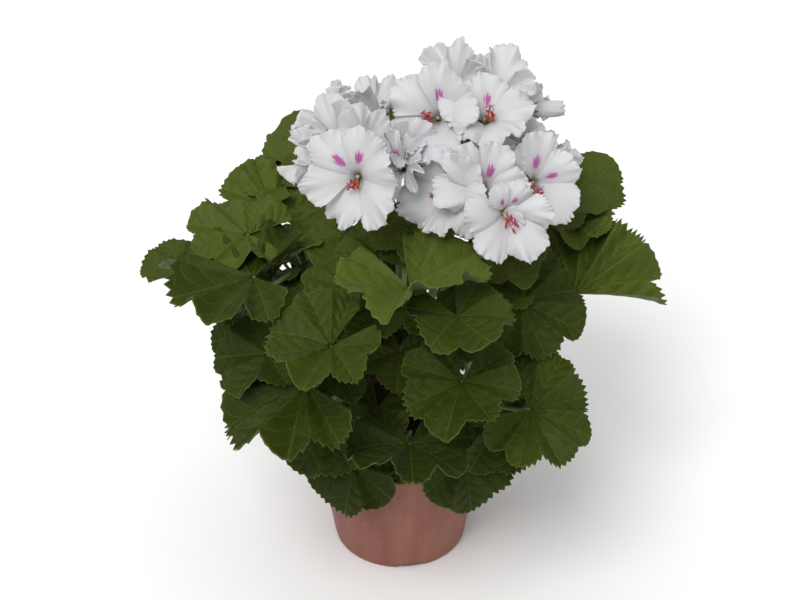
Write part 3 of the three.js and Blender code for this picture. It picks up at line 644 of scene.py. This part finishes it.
def blade(leaf):
    """A fan round the petiole. s goes from it to the margin and u counts lobes round it. The blade rises at
    an angle that grows away from the middle vein, less on a vein and more between two, and bends along s in
    an arc whose bend waves round the margin. The margin is drawn in between lobes and between teeth. It is
    pleated along the side veins and crimped near the margin. The pattern is the distance from the lobe's main
    vein and the number of the side vein."""
    lobes, seed = leaf["lobes"], leaf["seed"]
    u = np.linspace(lobes, 0, lobes * TEETH * COLUMNS_PER_TOOTH + 1)
    rows = BLADE_ROWS if leaf["fine"] else PLAINER_ROWS
    s = 1 - (1 - np.linspace(0, 1, rows)) ** 1.2
    s, u = np.meshgrid(0.02 + 0.98 * s, u, indexing="ij")
    angle = (2 * u / lobes - 1) * leaf["spread"]
    vein = np.abs(np.sin(np.pi * u))
    off = 2 * np.abs(u % 1 - 0.5)
    place = u * TEETH
    tooth = 1 - np.abs(2 * (place % 1) - 1)
    uneven = 0.75 + 0.6 * np.sin(12.9 * np.round(place) + 7 * seed)
    between_lobes = (0.11 + 0.05 * np.sin(2.1 * np.round(u) + 3 * seed)) * (1 - vein) ** 1.3
    notch = between_lobes * soft_step(s, 0.3, 1) + 0.055 * uneven * (1 - tooth) * soft_step(s, 0.84, 1)
    reach = leaf["size"] * (1 - 0.26 * (angle / np.pi) ** 2) * (1.03 - notch)
    lift = np.radians(leaf["cup"] + leaf["fold"] * np.sin(angle / 2) ** 2 + 12 * (0.5 - vein))
    waves = 14 * np.sin(3 * angle + seed) + 8 * np.sin(5 * angle + 2 * seed)
    bend = np.radians(leaf["curl"] + waves)
    bend = np.where(np.abs(bend) < 0.001, 0.001, bend)
    out = (np.sin(lift + bend * s) - np.sin(lift)) / bend
    up = (np.cos(lift) - np.cos(lift + bend * s)) / bend
    side_vein = SIDE_VEINS * s * (1 - 0.5 * off + 0.1 * off ** 2)
    quilt = 0.024 * s * np.sin(np.pi * (side_vein % 1)) * soft_step(off, 0.02, 0.3)
    crimp = 0.028 * s ** 3 * np.sin(2 * np.pi * u * 2 + 5 * seed + 1.5 * np.sin(2 * u))
    crimp = crimp + 0.012 * s ** 6 * np.sin(2 * np.pi * u * 4 + 3 * seed)
    way = np.cos(angle)[..., None] * leaf["middle"] + np.sin(angle)[..., None] * leaf["side"]
    level = (reach * out)[..., None] * way
    points = leaf["at"] + level + (reach * (up + quilt + crimp))[..., None] * leaf["normal"]
    # Painted light and shade: leaves higher up and further back are made lighter, as if lit from above and
    # catching a grey sheen, and lower ones darker, as if in the shade of those above. The seed adds each
    # leaf's own difference.
    x, y, z = leaf["at"] + 0.6 * leaf["size"] * leaf["middle"]
    tone_and_painted_light = 0.25 * soft_step(z, 95 * MM, 200 * MM)
    tone_and_painted_light = tone_and_painted_light + 0.5 * soft_step(z + 0.5 * y + 0.15 * x, 192 * MM, 216 * MM)
    tone_and_painted_light = tone_and_painted_light + 0.15 * np.cos(2.4 * (seed - 1.45))
    growth = np.stack([s, np.full_like(s, tone_and_painted_light), np.full_like(s, seed)], -1)
    return sheet(points, pattern=np.stack([off * s, side_vein], -1), growth=growth)


def leaf_skin(name, dark, light, vein_colour, vein_share, depth, sheen):
    """Leaf skin: veins from the pattern map, cells between them from a fine Voronoi, and a lightness for each
    leaf from the growth attribute, which is painted light and shade: leaves higher up and further back are
    lighter, lower ones darker, with a little difference of each leaf's own. depth is how deep the veins lie,
    below nought where they stand proud."""
    material, add = new_material(name)
    place = add("TexCoord").outputs["Object"]
    pattern = add("SeparateXYZ", {0: add("UVMap", uv_map="pattern")})
    growth = add("SeparateXYZ", {0: add("Attribute", attribute_name="growth").outputs["Vector"]})
    smooth = {"interpolation_type": "SMOOTHSTEP"}
    main = add("MapRange", {
        "Value": pattern.outputs[0], "From Max": 0.05, "To Min": 1.0, "To Max": 0.0,
    }, **smooth)
    wave = add("Math", {0: pattern.outputs[1], 1: 0.5}, operation="PINGPONG")
    side = add("MapRange", {"Value": wave, "From Max": 0.1, "To Min": 0.6, "To Max": 0.0}, **smooth)
    veins = add("Math", {0: main, 1: side}, operation="MAXIMUM")
    cells = add("TexVoronoi", {"Vector": place, "Scale": 1 / (3 * MM)}, feature="DISTANCE_TO_EDGE")
    net = add("MapRange", {"Value": cells, "From Max": 0.2, "To Max": 0.5})
    cloud = add("TexNoise", {"Vector": place, "Scale": 1 / (16 * MM), "Detail": 3.0})
    grain = add("TexNoise", {"Vector": place, "Scale": 1 / (1.6 * MM), "Detail": 3.0})
    # Cloudy variation of the leaf's own, added to the painted light and shade carried by the growth attribute
    tone_and_painted_light = add("Math", {0: cloud, 1: 0.5, 2: -0.22}, operation="MULTIPLY_ADD")
    tone_and_painted_light = add("Math", {0: growth.outputs[1], 1: tone_and_painted_light}, operation="ADD", use_clamp=True)
    base = add("MixRGB", {"Fac": tone_and_painted_light, "Color1": linear(dark), "Color2": linear(light)})
    share = add("Math", {0: veins, 1: vein_share}, operation="MULTIPLY")
    veined = add("MixRGB", {"Fac": share, "Color1": base, "Color2": linear(vein_colour)})
    # Painted highlight: the outermost margin is mixed paler, as if its teeth caught the light.
    margin = add("MapRange", {"Value": growth.outputs[0], "From Min": 0.975, "To Max": 0.5})
    colour = add("MixRGB", {"Fac": margin, "Color1": veined, "Color2": linear(vein_colour)})
    relief = add("Math", {0: veins, 1: -depth, 2: net}, operation="MULTIPLY_ADD")
    relief = add("Math", {0: wave, 1: 2.4 * depth, 2: relief}, operation="MULTIPLY_ADD")
    relief = add("Math", {0: grain, 1: 0.5, 2: relief}, operation="MULTIPLY_ADD")
    bump = add("Bump", {"Height": relief, "Strength": 0.8, "Distance": 0.35 * MM})
    skin = add("BsdfPrincipled", {
        "Base Color": colour, "Roughness": 0.5, "Normal": bump, "Specular IOR Level": 0.16,
        "Sheen Weight": sheen, "Sheen Roughness": 0.45, "Sheen Tint": linear("cfd8c4"),
    })
    glow = add("BsdfTranslucent", {"Color": colour, "Normal": bump})
    shader = add("MixShader", {0: 0.25, 1: skin, 2: glow})
    add("OutputMaterial", {"Surface": shader})
    return material


upper_skin = leaf_skin("soft_leaf_upper_skin", "2e3b04", "596820", "6b7b30", 0.3, 1.0, 0.05)
lower_skin = leaf_skin("downy_leaf_underside", "454f28", "647242", "7e8c55", 0.5, -1.0, 0.15)
for name in STEMS:
    blades = [blade(leaf) for leaf in leaves if leaf["shoot"] == name]
    piece = make_piece("leaves_" + name, blades, [upper_skin, lower_skin], BLADE_THICKNESS, 1)
    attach(piece, "root")
    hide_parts("shoot_" + name)


# Flower stalks
# A stout stalk from a shoot's tip carries each umbel of flowers. Each flower hangs on a slender
# hairy pedicel that widens into a calyx with five pointed sepals.
UMBELS = {
    "left": ("left", (-24, 24, 264)),
    "top": ("top", (42, 44, 278)),
    "right": ("right", (60, 14, 244)),
}
# Blooms: head, where the throat starts (x, y, z), the way the bloom faces (heading, rise), turn of
# its upper petals about that, radius, petals, ruffle turn, whether it is wide open with stamens,
# and the length of its upper petals against the others, if they are shorter
BLOOMS = [
    ("left", -23, -36, 299, -112, 28, 22, 38, 6, 0.3, True),
    ("left", 3, -17, 291, -112, 50, -4, 29, 5, 1.1, False),
    ("left", -19, -4, 299, -96, 60, 0, 29, 5, 2.3, False),
    ("left", -35, 18, 290, -150, 52, 10, 32, 5, 3.1, False),
    ("left", -43, 10, 281, 190, 14, -10, 30, 5, 4.2, False),
    ("left", -16, 38, 293, 80, 74, 30, 30, 5, 5.0, False),
    ("left", -36, 48, 276, 130, 30, 0, 31, 5, 0.9, False),
    ("left", -4, 60, 276, 84, 28, -10, 30, 5, 2.7, False),
    ("top", 24, 6, 312, -118, 46, -40, 38, 5, 0.8, True),
    ("top", 50, 2, 311, -80, 74, 19, 35, 5, 1.9, True),
    ("top", 34, 44, 312, -100, 62, 20, 33, 5, 2.8, False),
    ("top", 57, 36, 307, -64, 62, 0, 36, 5, 3.7, False),
    ("top", 65, 14, 290, -44, 52, 0, 27, 5, 4.4, False),
    ("top", 55, -12, 290, -84, 58, 0, 26, 5, 2.0, False),
    ("top", 34, 80, 280, 92, 14, 0, 31, 5, 5.5, False),
    ("top", 66, 64, 280, 46, 20, 0, 30, 5, 0.2, False),
    ("top", 5, -6, 296, -118, 48, 0, 26, 5, 3.9, False),
    ("right", 34, -28, 283, -134, 22, -56, 37, 5, 3.3, True),
    ("right", 49, -34, 287, -98, 38, 10, 36, 6, 0.5, True),
    ("right", 60, -52, 286, -74, 22, -5, 35, 6, 1.4, True, 0.66),
    ("right", 77, -12, 280, -64, 27, -40, 36, 5, 2.1, True),
    ("right", 84, 20, 270, 2, 44, 0, 29, 5, 4.6, False),
    ("right", 80, 36, 260, 50, 26, 0, 29, 5, 5.9, False),
]
# Buds: head, where the bud starts (x, y, z), the way it points (heading, rise), length and radius
BUDS = [
    ("top", 78, 38, 300, 2, 4, 22, 5),
    ("left", -38, 76, 285, 120, 66, 13, 3.4),
]
STALK_RADIUS = 1.7 * MM
PEDICEL_RADIUS = 0.95 * MM
CALYX_RADIUS = 2.2 * MM
CALYX_LENGTH = 7 * MM
STALK_POINTS = 16
PEDICEL_POINTS = 20
SEPALS = 5
SEPAL_THICKNESS = 0.5 * MM
# Sepals: their length and how far they lift, in degrees
FLOWER_SEPALS = (13 * MM, 44)
BUD_SEPALS = (9 * MM, 72)


def turn_about(vector, axis, angle):
    """The vector turned about a unit axis, with the thumb along the axis."""
    along = axis * (axis @ vector)
    return along + (vector - along) * np.cos(angle) + np.cross(axis, vector) * np.sin(angle)


def bloom_from(number, head, x, y, z, heading, rise, turn, size, petals, seed, is_open, upper=1):
    """A bloom's numbers by name, with the unit vectors that it faces along and that point to its upper
    petals."""
    facing = direction(heading, rise)
    upright = turn_about(direction(heading, rise + 90), facing, np.radians(turn))
    return {
        "name": f"{head}_{number}", "head": head, "at": np.array([x, y, z]) * MM, "facing": facing,
        "upright": upright, "size": size * MM, "petals": petals, "seed": seed, "open": is_open,
        "upper": upper,
    }


def bud_from(number, head, x, y, z, heading, rise, length, radius):
    """A bud's numbers by name."""
    facing = direction(heading, rise)
    return {
        "name": f"bud_{number}", "head": head, "at": np.array([x, y, z]) * MM, "facing": facing,
        "upright": direction(heading, rise + 90), "length": length * MM, "radius": radius * MM,
    }


def pedicel_line(umbel, flower):
    """A curve from the umbel, up and out, that reaches the flower from behind."""
    end = flower["at"] - 0.6 * MM * flower["facing"]
    length = np.linalg.norm(end - umbel)
    after = umbel + 0.25 * (end - umbel) + np.array([0, 0, 0.15 * length])
    return bezier(umbel, after, end - 0.45 * length * flower["facing"], end, PEDICEL_POINTS)


def sepal(flower, k, size, lift):
    """A pointed sepal k behind the petals: s goes to its tip, its half width is s^0.3 (1 - s)^0.8, and it is
    keeled."""
    outward = turn_about(flower["upright"], flower["facing"], 2 * np.pi / SEPALS * k)
    sideways = np.cross(flower["facing"], outward)
    s, across = np.meshgrid(np.linspace(0, 0.99, 9), np.linspace(1, -1, 5), indexing="ij")
    width = 0.24 * size * (s + 0.03) ** 0.3 * (1 - s) ** 0.8
    out = 1.6 * MM + size * np.cos(lift) * s + 0.12 * size * s ** 2
    up = -1.4 * MM + size * np.sin(lift) * s - 0.1 * size * s ** 2 + 0.5 * width * across ** 2
    s, across, width, out, up = (each[..., None] for each in (s, across, width, out, up))
    return flower["at"] + outward * out + sideways * across * width + flower["facing"] * up


blooms = [bloom_from(number, *row) for number, row in enumerate(BLOOMS, 1)]
buds = [bud_from(number, *row) for number, row in enumerate(BUDS, 1)]
for head, (shoot, place) in UMBELS.items():
    umbel = np.array(place) * MM
    tip = stem_lines[shoot][-2]
    middle = (tip + umbel) / 2 - np.array([0, 0, 6 * MM])
    stalk = bezier(tip, (tip + 2 * middle) / 3, (umbel + 2 * middle) / 3, umbel, STALK_POINTS)
    high = np.array([0, 0.8, 0.8])
    radii = STALK_RADIUS * (1 + 0.5 * np.linspace(0, 1, STALK_POINTS) ** 8)
    green = [sheet(tube(stalk, radii), closed=True, growth=high)]
    sepals = []
    for flower in [*blooms, *buds]:
        if flower["head"] != head:
            continue
        line = pedicel_line(umbel, flower)
        left = np.linalg.norm(line - line[-1], axis=1)
        widening = soft_step(-left, -CALYX_LENGTH, 0)
        radii = PEDICEL_RADIUS + (CALYX_RADIUS - PEDICEL_RADIUS) * widening
        green.append(sheet(tube(line, radii), closed=True, growth=high))
        size, lift = BUD_SEPALS if "length" in flower else FLOWER_SEPALS
        for k in range(SEPALS):
            sepals.append(sheet(sepal(flower, k, size, np.radians(lift)), growth=high))
    for kind, sheets, thickness in (("flower_stalks", green, 0), ("sepals", sepals, SEPAL_THICKNESS)):
        piece = make_piece(f"{kind}_{head}", sheets, [skin], thickness)
        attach(piece, "root")
        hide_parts("shoot_" + shoot)


# Petals
# Broad white petals, five or six to a bloom, thin and soft, with a ruffled and crimped margin.
# The two upper ones have a feathered magenta blotch, and the throat is greenish with fine purple veins,
# darkened with painted shade.
PETAL_THICKNESS = 0.35 * MM
WIDE_OPEN = {"lift": 62, "bend": -64, "from": 0.5, "ruffle": 18, "fold": 8, "grid": (22, 61)}
CRUMPLED = {"lift": 72, "bend": -46, "from": 0.35, "ruffle": 22, "fold": 20, "grid": (15, 47)}
# The blotch: how far along the petal its middle lies, half its length and width, the least value
# of its patch and the value on a petal that has none
BLOTCH_MIDDLE = 0.47
BLOTCH_LENGTH = 0.13
BLOTCH_WIDTH = 0.34
BLOTCH_LEAST = -5.0
NO_BLOTCH = -9.0
# Where one upper petal lies over the other's blotch, only this petal shows one. Some blooms are all white.
ONE_BLOTCH = {"left_2": 0, "top_9": 0, "top_10": 4, "right_19": 5}
ALL_WHITE = ("left_3", "left_4", "left_6", "top_11", "top_12", "top_14", "top_17", "right_18")


def petal(bloom, k):
    """Petal k. s goes from the claw to the margin and phi from 1 to -1 across. It rises steeply out of the
    throat and bends outward in an arc, over an angle that grows to the middle. Its corners are rounded off,
    its margin is scalloped, its sides bend back, and one side lies higher, over the next petal. Its slope is
    summed up along s: the arc's own, broad folds, and ruffles that grow towards the margin and turn it up and
    down."""
    seed, petals = bloom["seed"], bloom["petals"]
    shape = WIDE_OPEN if bloom["open"] else CRUMPLED
    dice = np.random.default_rng([int(10 * seed), k])
    turns = dice.uniform(0, 2 * np.pi, 9)
    upper = k in (0, petals - 1)
    full = dice.uniform(0.92, 1.08) * (1.1 if upper else 1)
    outward = turn_about(bloom["upright"], bloom["facing"], (k + 0.5) * 2 * np.pi / petals)
    sideways = np.cross(bloom["facing"], outward)
    rows, columns = shape["grid"]
    s = 1 - 0.95 * (1 - np.linspace(0, 1, rows)) ** 1.2
    s, phi = np.meshgrid(s, np.linspace(1, -1, columns), indexing="ij")
    share = full * (0.66 + 0.52 * np.sin(np.pi / 2 * np.clip(s / 0.75, 0, 1)))
    scallop = 0.03 * np.sin(7 * phi + turns[0]) + 0.01 * np.sin(19 * phi + turns[1])
    scallop = scallop + 0.009 * np.sin(41 * phi + 3 * np.sin(4 * phi + turns[8]))
    outline = 1.04 - 0.3 * np.abs(phi) ** 2.4 + s ** 7 * scallop
    reach = bloom["size"] * (bloom["upper"] if upper else 1) * outline
    reach = reach * (0.96 + 0.08 * np.sin(2.4 * k + seed))
    lift = shape["lift"] + 8 * np.sin(k * 1.7 + seed)
    bend = shape["bend"] + 12 * np.sin(k * 2.3 + 2 * seed)
    fold = shape["fold"] * s * np.sin(3.1 * phi + turns[2] + 1.2 * s)
    wave = np.sin(6.5 * phi + turns[3] + 1.4 * np.sin(2 * phi + turns[4]))
    wave = wave + 0.45 * np.sin(13 * phi + turns[5] + 2 * s)
    ruffle = shape["ruffle"] * soft_step(s, shape["from"], 1.1) * wave
    crimp = 26 * soft_step(s, 0.84, 1.04) * np.sin(33 * phi + 4 * np.sin(3 * phi + turns[6]))
    slope = np.radians(lift + bend * s + fold + ruffle + crimp)
    step = np.diff(s, axis=0, prepend=0)
    out = np.cumsum(step * np.cos(slope), axis=0)
    up = np.cumsum(step * np.sin(slope), axis=0) + 0.07 * phi * s - 0.08 * (phi * s) ** 2
    sway = 0.05 * soft_step(s, 0.5, 1) * np.sin(5 * phi + turns[7])
    angle = (phi + sway) * share * np.pi / petals
    way = np.cos(angle)[..., None] * outward + np.sin(angle)[..., None] * sideways
    level = (reach * out)[..., None] * way
    points = bloom["at"] + level + (reach * up)[..., None] * bloom["facing"]
    marked = upper and bloom["name"] not in ALL_WHITE and ONE_BLOTCH.get(bloom["name"], k) == k
    patch = 1 - ((s - BLOTCH_MIDDLE) / BLOTCH_LENGTH) ** 2 - (phi / BLOTCH_WIDTH) ** 2
    patch = np.maximum(patch, BLOTCH_LEAST) if marked else np.full_like(s, NO_BLOTCH)
    growth = np.stack([s, patch, np.full_like(s, seed + 3 * k)], -1)
    return sheet(points, pattern=np.stack([phi, s], -1), growth=growth)


def petal_skin():
    """Petal tissue: white cells full of air, matt and letting light through, with fine ribs that fan out to
    the margin. The blotch is a smooth patch from the growth attribute, feathered by noise stretched along the
    ribs. Dotted streaks lead from it down to the throat, which is greenish with fine purple veins and
    darkened with painted shade."""
    material, add = new_material("white_petal_tissue")
    smooth = {"interpolation_type": "SMOOTHSTEP"}
    place = add("TexCoord").outputs["Object"]
    pattern = add("SeparateXYZ", {0: add("UVMap", uv_map="pattern")})
    attribute = add("Attribute", attribute_name="growth")
    growth = add("SeparateXYZ", {0: attribute.outputs["Vector"]})
    across, along, patch = pattern.outputs[0], pattern.outputs[1], growth.outputs[1]
    ribs_at = add("CombineXYZ", {0: across, 1: along, 2: growth.outputs[2]})
    cloud = add("TexNoise", {"Vector": place, "Scale": 1 / (30 * MM), "Detail": 2.0})
    white = add("MixRGB", {"Fac": cloud, "Color1": linear("e2e1e6"), "Color2": linear("ebebe9")})
    tint = add("MapRange", {"Value": patch, "From Min": -2.2, "From Max": 1.0, "To Max": 0.22}, **smooth)
    pinkish = add("MixRGB", {"Fac": tint, "Color1": white, "Color2": linear("e3b8de")})
    feathered = add("Mapping", {"Vector": ribs_at, "Scale": (12, 1.4, 1)})
    feathers = add("TexNoise", {"Vector": feathered, "Scale": 1.0, "Detail": 2.0})
    edge = add("Math", {0: feathers, 1: 3.2, 2: patch}, operation="MULTIPLY_ADD")
    blotch = add("MapRange", {"Value": edge, "From Min": 1.6, "From Max": 2.1, "To Max": 0.88}, **smooth)
    marked = add("MixRGB", {"Fac": blotch, "Color1": pinkish, "Color2": linear("c855ae")})
    lines = add("Math", {0: across, 1: 8.0}, operation="MULTIPLY")
    line_wave = add("Math", {0: lines, 1: 0.5}, operation="PINGPONG")
    line = add("MapRange", {"Value": line_wave, "From Max": 0.14, "To Min": 1.0, "To Max": 0.0})
    dots = add("Math", {0: along, 1: 26.0}, operation="MULTIPLY")
    dot_wave = add("Math", {0: dots, 1: 0.5}, operation="PINGPONG")
    dot = add("MapRange", {"Value": dot_wave, "From Min": 0.1, "From Max": 0.3})
    below = add("MapRange", {"Value": patch, "From Min": -5.0, "From Max": -1.0}, **smooth)
    inner = add("MapRange", {
        "Value": along, "From Min": 0.3, "From Max": 0.52, "To Min": 1.0, "To Max": 0.0,
    }, **smooth)
    dotted = add("Math", {0: dot, 1: below}, operation="MULTIPLY")
    dotted = add("Math", {0: dotted, 1: inner}, operation="MULTIPLY")
    near = add("MapRange", {
        "Value": along, "From Min": 0.08, "From Max": 0.34, "To Min": 0.85, "To Max": 0.0,
    }, **smooth)
    veins = add("Math", {0: dotted, 1: near}, operation="MAXIMUM")
    vein_share = add("Math", {0: line, 1: veins}, operation="MULTIPLY")
    veined = add("MixRGB", {"Fac": vein_share, "Color1": marked, "Color2": linear("94408f")})
    # Painted shade: the throat is mixed to a dark olive, its own greenish colour darkened as if by the shade
    # in its recess. Buds take the same colour at the foot.
    deep = add("MapRange", {
        "Value": along, "From Min": 0.06, "From Max": 0.3, "To Min": 0.85, "To Max": 0.0,
    }, **smooth)
    colour = add("MixRGB", {"Fac": deep, "Color1": veined, "Color2": linear("7d8458")})
    ribbed = add("Mapping", {"Vector": ribs_at, "Scale": (22, 1.5, 1)})
    ribs = add("TexNoise", {"Vector": ribbed, "Scale": 1.0, "Detail": 3.0})
    bump = add("Bump", {"Height": ribs, "Strength": 0.6, "Distance": 0.5 * MM})
    skin = add("BsdfPrincipled", {
        "Base Color": colour, "Roughness": 0.6, "Normal": bump, "Sheen Weight": 0.15, "Sheen Roughness": 0.5,
    })
    glow = add("BsdfTranslucent", {"Color": colour, "Normal": bump})
    shader = add("MixShader", {0: 0.4, 1: skin, 2: glow})
    add("OutputMaterial", {"Surface": shader})
    return material


tissue = petal_skin()
for bloom in blooms:
    sheets = [petal(bloom, k) for k in range(bloom["petals"])]
    piece = make_piece("petals_" + bloom["name"] + "_fine", sheets, [tissue], PETAL_THICKNESS)
    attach(piece, "root")
    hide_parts("petals_" + bloom["name"])


# Stamens and style
# Pale filaments bend down and out of the throat and end in orange-red anthers. The magenta style
# stands among them and opens into a star of five curled stigma arms.
FILAMENTS = 7
FILAMENT_LENGTH = 13.5 * MM
FILAMENT_RADIUS = 0.26 * MM
ANTHER_LENGTH = 3.4 * MM
ANTHER_RADIUS = 0.72 * MM
STYLE_LENGTH = 16.5 * MM
STYLE_RADIUS = 0.34 * MM
STIGMA_LENGTH = 2.8 * MM
STIGMA_ARMS = 5
TUBE_POINTS = 9


def stamen_colour(name, inner, outer):
    """Stamen tissue: waxy, its colour going from the foot to the tip along the growth attribute."""
    material, add = new_material(name)
    place = add("TexCoord").outputs["Object"]
    growth = add("SeparateXYZ", {0: add("Attribute", attribute_name="growth").outputs["Vector"]})
    grain = add("TexNoise", {"Vector": place, "Scale": 1 / (0.4 * MM), "Detail": 2.0})
    mixed = add("Math", {0: grain, 1: 0.3, 2: growth.outputs[0]}, operation="MULTIPLY_ADD")
    colour = add("MixRGB", {"Fac": mixed, "Color1": linear(inner), "Color2": linear(outer)})
    bump = add("Bump", {"Height": grain, "Strength": 0.5, "Distance": 0.1 * MM})
    shader = add("BsdfPrincipled", {"Base Color": colour, "Roughness": 0.5, "Normal": bump})
    add("OutputMaterial", {"Surface": shader})
    return material


def stamen_sheets(bloom):
    """Curved tubes from the throat: each filament leans to the lower petals and a little out at its own turn,
    and lifts at the tip, where the anther hangs across it. The style ends in curled arms."""
    dice = np.random.default_rng(int(bloom["seed"] * 10))
    facing, lower = bloom["facing"], -bloom["upright"]
    foot = bloom["at"] + 3.4 * MM * facing
    along = np.linspace(0, 1, TUBE_POINTS)
    growth = np.stack([along, along, along], -1)[:, None]
    tube_line = np.linspace(bloom["at"] + 1.5 * MM * facing, foot + 2 * MM * facing, 4)
    sheets = [sheet(tube(tube_line, 1 * MM, 8), closed=True)]
    for i in range(FILAMENTS):
        around = turn_about(lower, facing, 2 * np.pi / FILAMENTS * i + bloom["seed"])
        length = FILAMENT_LENGTH * dice.uniform(0.6, 1.08)
        way = unit(facing + lower * dice.uniform(0.4, 0.75) + around * dice.uniform(0.12, 0.4))
        tip = foot + way * length
        lifted = unit(way - 0.5 * lower + 0.2 * around)
        line = bezier(foot + around * 0.6 * MM, foot + unit(facing + 0.5 * lower) * 0.5 * length,
                      tip - lifted * 0.35 * length, tip, TUBE_POINTS)
        sheets.append(sheet(tube(line, FILAMENT_RADIUS, 6), closed=True, growth=growth))
        across = turn_about(lower, facing, dice.uniform(-0.8, 0.8))
        hinge = unit(across + lifted * dice.uniform(-0.5, 0.5))
        t = np.linspace(-1, 1, TUBE_POINTS)
        spindle = tip + (hinge * t[:, None] * 0.5 + lifted * 0.12 * t[:, None] ** 2) * ANTHER_LENGTH
        bulge = ANTHER_RADIUS * (1 - 0.97 * t ** 4) ** 0.5 * (1 - 0.12 * np.cos(np.pi * t))
        sheets.append(sheet(tube(spindle, bulge, 8), closed=True, finish=1))
    end = foot + unit(facing + 0.25 * lower) * STYLE_LENGTH
    style = bezier(foot, foot + (facing + 0.4 * lower) * 6 * MM, end - facing * 5 * MM, end, TUBE_POINTS)
    sheets.append(sheet(tube(style, STYLE_RADIUS, 6), closed=True, growth=growth, finish=2))
    for i in range(STIGMA_ARMS):
        around = turn_about(lower, facing, 2 * np.pi / STIGMA_ARMS * i + 0.4)
        tip = end + around * STIGMA_LENGTH
        arm = bezier(end, end + (facing + 0.6 * around) * MM, tip, tip - facing * 1.2 * MM, TUBE_POINTS)
        radii = STYLE_RADIUS * (1 - 0.5 * along)
        sheets.append(sheet(tube(arm, radii, 6), closed=True, growth=growth, finish=2))
    return sheets


stamen_finishes = [
    stamen_colour("pale_filament", "b4b78c", "c4605c"),
    stamen_colour("orange_red_anther", "a42c12", "bd4219"),
    stamen_colour("magenta_style", "a8507f", "7c0f42"),
]
for bloom in blooms:
    if bloom["open"]:
        piece = make_piece("stamens_" + bloom["name"] + "_fine", stamen_sheets(bloom), stamen_finishes)
        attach(piece, "root")
        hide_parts("stamens_" + bloom["name"])


# Buds
# A flower about to open: its petals are still rolled round each other into a spindle, white with
# a green foot in the petals' throat colour, which is darkened with painted shade, and the first margins
# stand out at the tip.
BUD_WRAPS = 5


def bud_wrap(bud, k):
    """Petal k of a bud: a sheet wound 200 degrees round the spindle, each wound a little inside the last, its
    margin crimped. The spindle's radius rises over the first half and closes a little at the tip."""
    outward = turn_about(bud["upright"], bud["facing"], 2 * np.pi / BUD_WRAPS * k)
    sideways = np.cross(bud["facing"], outward)
    t, phi = np.meshgrid(np.linspace(0.02, 1, 16), np.linspace(1, -1, 25), indexing="ij")
    length = bud["length"] * (1 - 0.1 * phi ** 2 + 0.04 * t ** 4 * np.sin(11 * phi + 3 * k))
    length = length * (1 - 0.05 * k / BUD_WRAPS)
    radius = bud["radius"] * (0.2 + 0.8 * np.sin(np.pi * t ** 0.8 * 0.72)) * (1 + 0.09 * phi - 0.03 * k)
    radius = radius * (1 + 0.1 * t ** 3 * np.sin(13 * phi + 2 * k))
    angle = phi * np.radians(100) + 0.5 * t
    along, out, angle = (length * t)[..., None], radius[..., None], angle[..., None]
    points = bud["at"] + bud["facing"] * along + out * (np.cos(angle) * outward + np.sin(angle) * sideways)
    growth = np.stack([t, np.full_like(t, -3.0), np.full_like(t, 7.0 + k)], -1)
    return sheet(points, pattern=np.stack([phi, 0.1 + 0.9 * t], -1), growth=growth)


for bud in buds:
    sheets = [bud_wrap(bud, k) for k in range(BUD_WRAPS)]
    piece = make_piece(bud["name"] + "_fine", sheets, [tissue], PETAL_THICKNESS)
    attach(piece, "root")
    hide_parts(bud["name"])


# Floor and light
# A plain pale floor, a broad soft light from the left, front and above, a softer one overhead
# and an even white surround.
FLOOR_REACH = 4
SURROUND_STRENGTH = 0.5
# Lamps: name, the place each shines from, the spread of its light in degrees and its strength
LAMPS = [
    ("key", (-0.55, -1.25, 1.7), 30, 1.9),
    ("top", (-0.3, 0.2, 2.0), 80, 0.8),
]


def painted_floor():
    """Matt white paint, rolled, with barely any gloss."""
    material, add = new_material("matt_white_paint")
    place = add("TexCoord").outputs["Object"]
    roller = add("TexNoise", {"Vector": place, "Scale": 1 / (3 * MM), "Detail": 2.0})
    bump = add("Bump", {"Height": roller, "Strength": 0.1, "Distance": 0.1 * MM})
    shader = add("BsdfPrincipled", {"Base Color": linear("f7f7f7"), "Roughness": 0.8, "Normal": bump})
    add("OutputMaterial", {"Surface": shader})
    return material


corner = np.linspace(-FLOOR_REACH, FLOOR_REACH, 3)
ground = np.stack([*np.meshgrid(corner, corner), np.zeros((3, 3))], -1)
floor = make_piece("floor", [sheet(ground[::-1])], [painted_floor()])

for name, place, spread, strength in LAMPS:
    lamp = bpy.data.objects.new(name, bpy.data.lights.new(name, "SUN"))
    lamp.data.angle = np.radians(spread)
    lamp.data.energy = strength
    lamp.location = place
    aim = -np.array(place)
    tilt = np.arccos(-aim[2] / np.linalg.norm(aim))
    lamp.rotation_euler = (tilt, 0, np.arctan2(aim[1], aim[0]) - np.pi / 2)
    bpy.context.scene.collection.objects.link(lamp)
surround = bpy.data.worlds.new("surround")
surround.use_nodes = True
surround.node_tree.nodes["Background"].inputs["Color"].default_value = (1, 1, 1, 1)
surround.node_tree.nodes["Background"].inputs["Strength"].default_value = SURROUND_STRENGTH
bpy.context.scene.world = surround
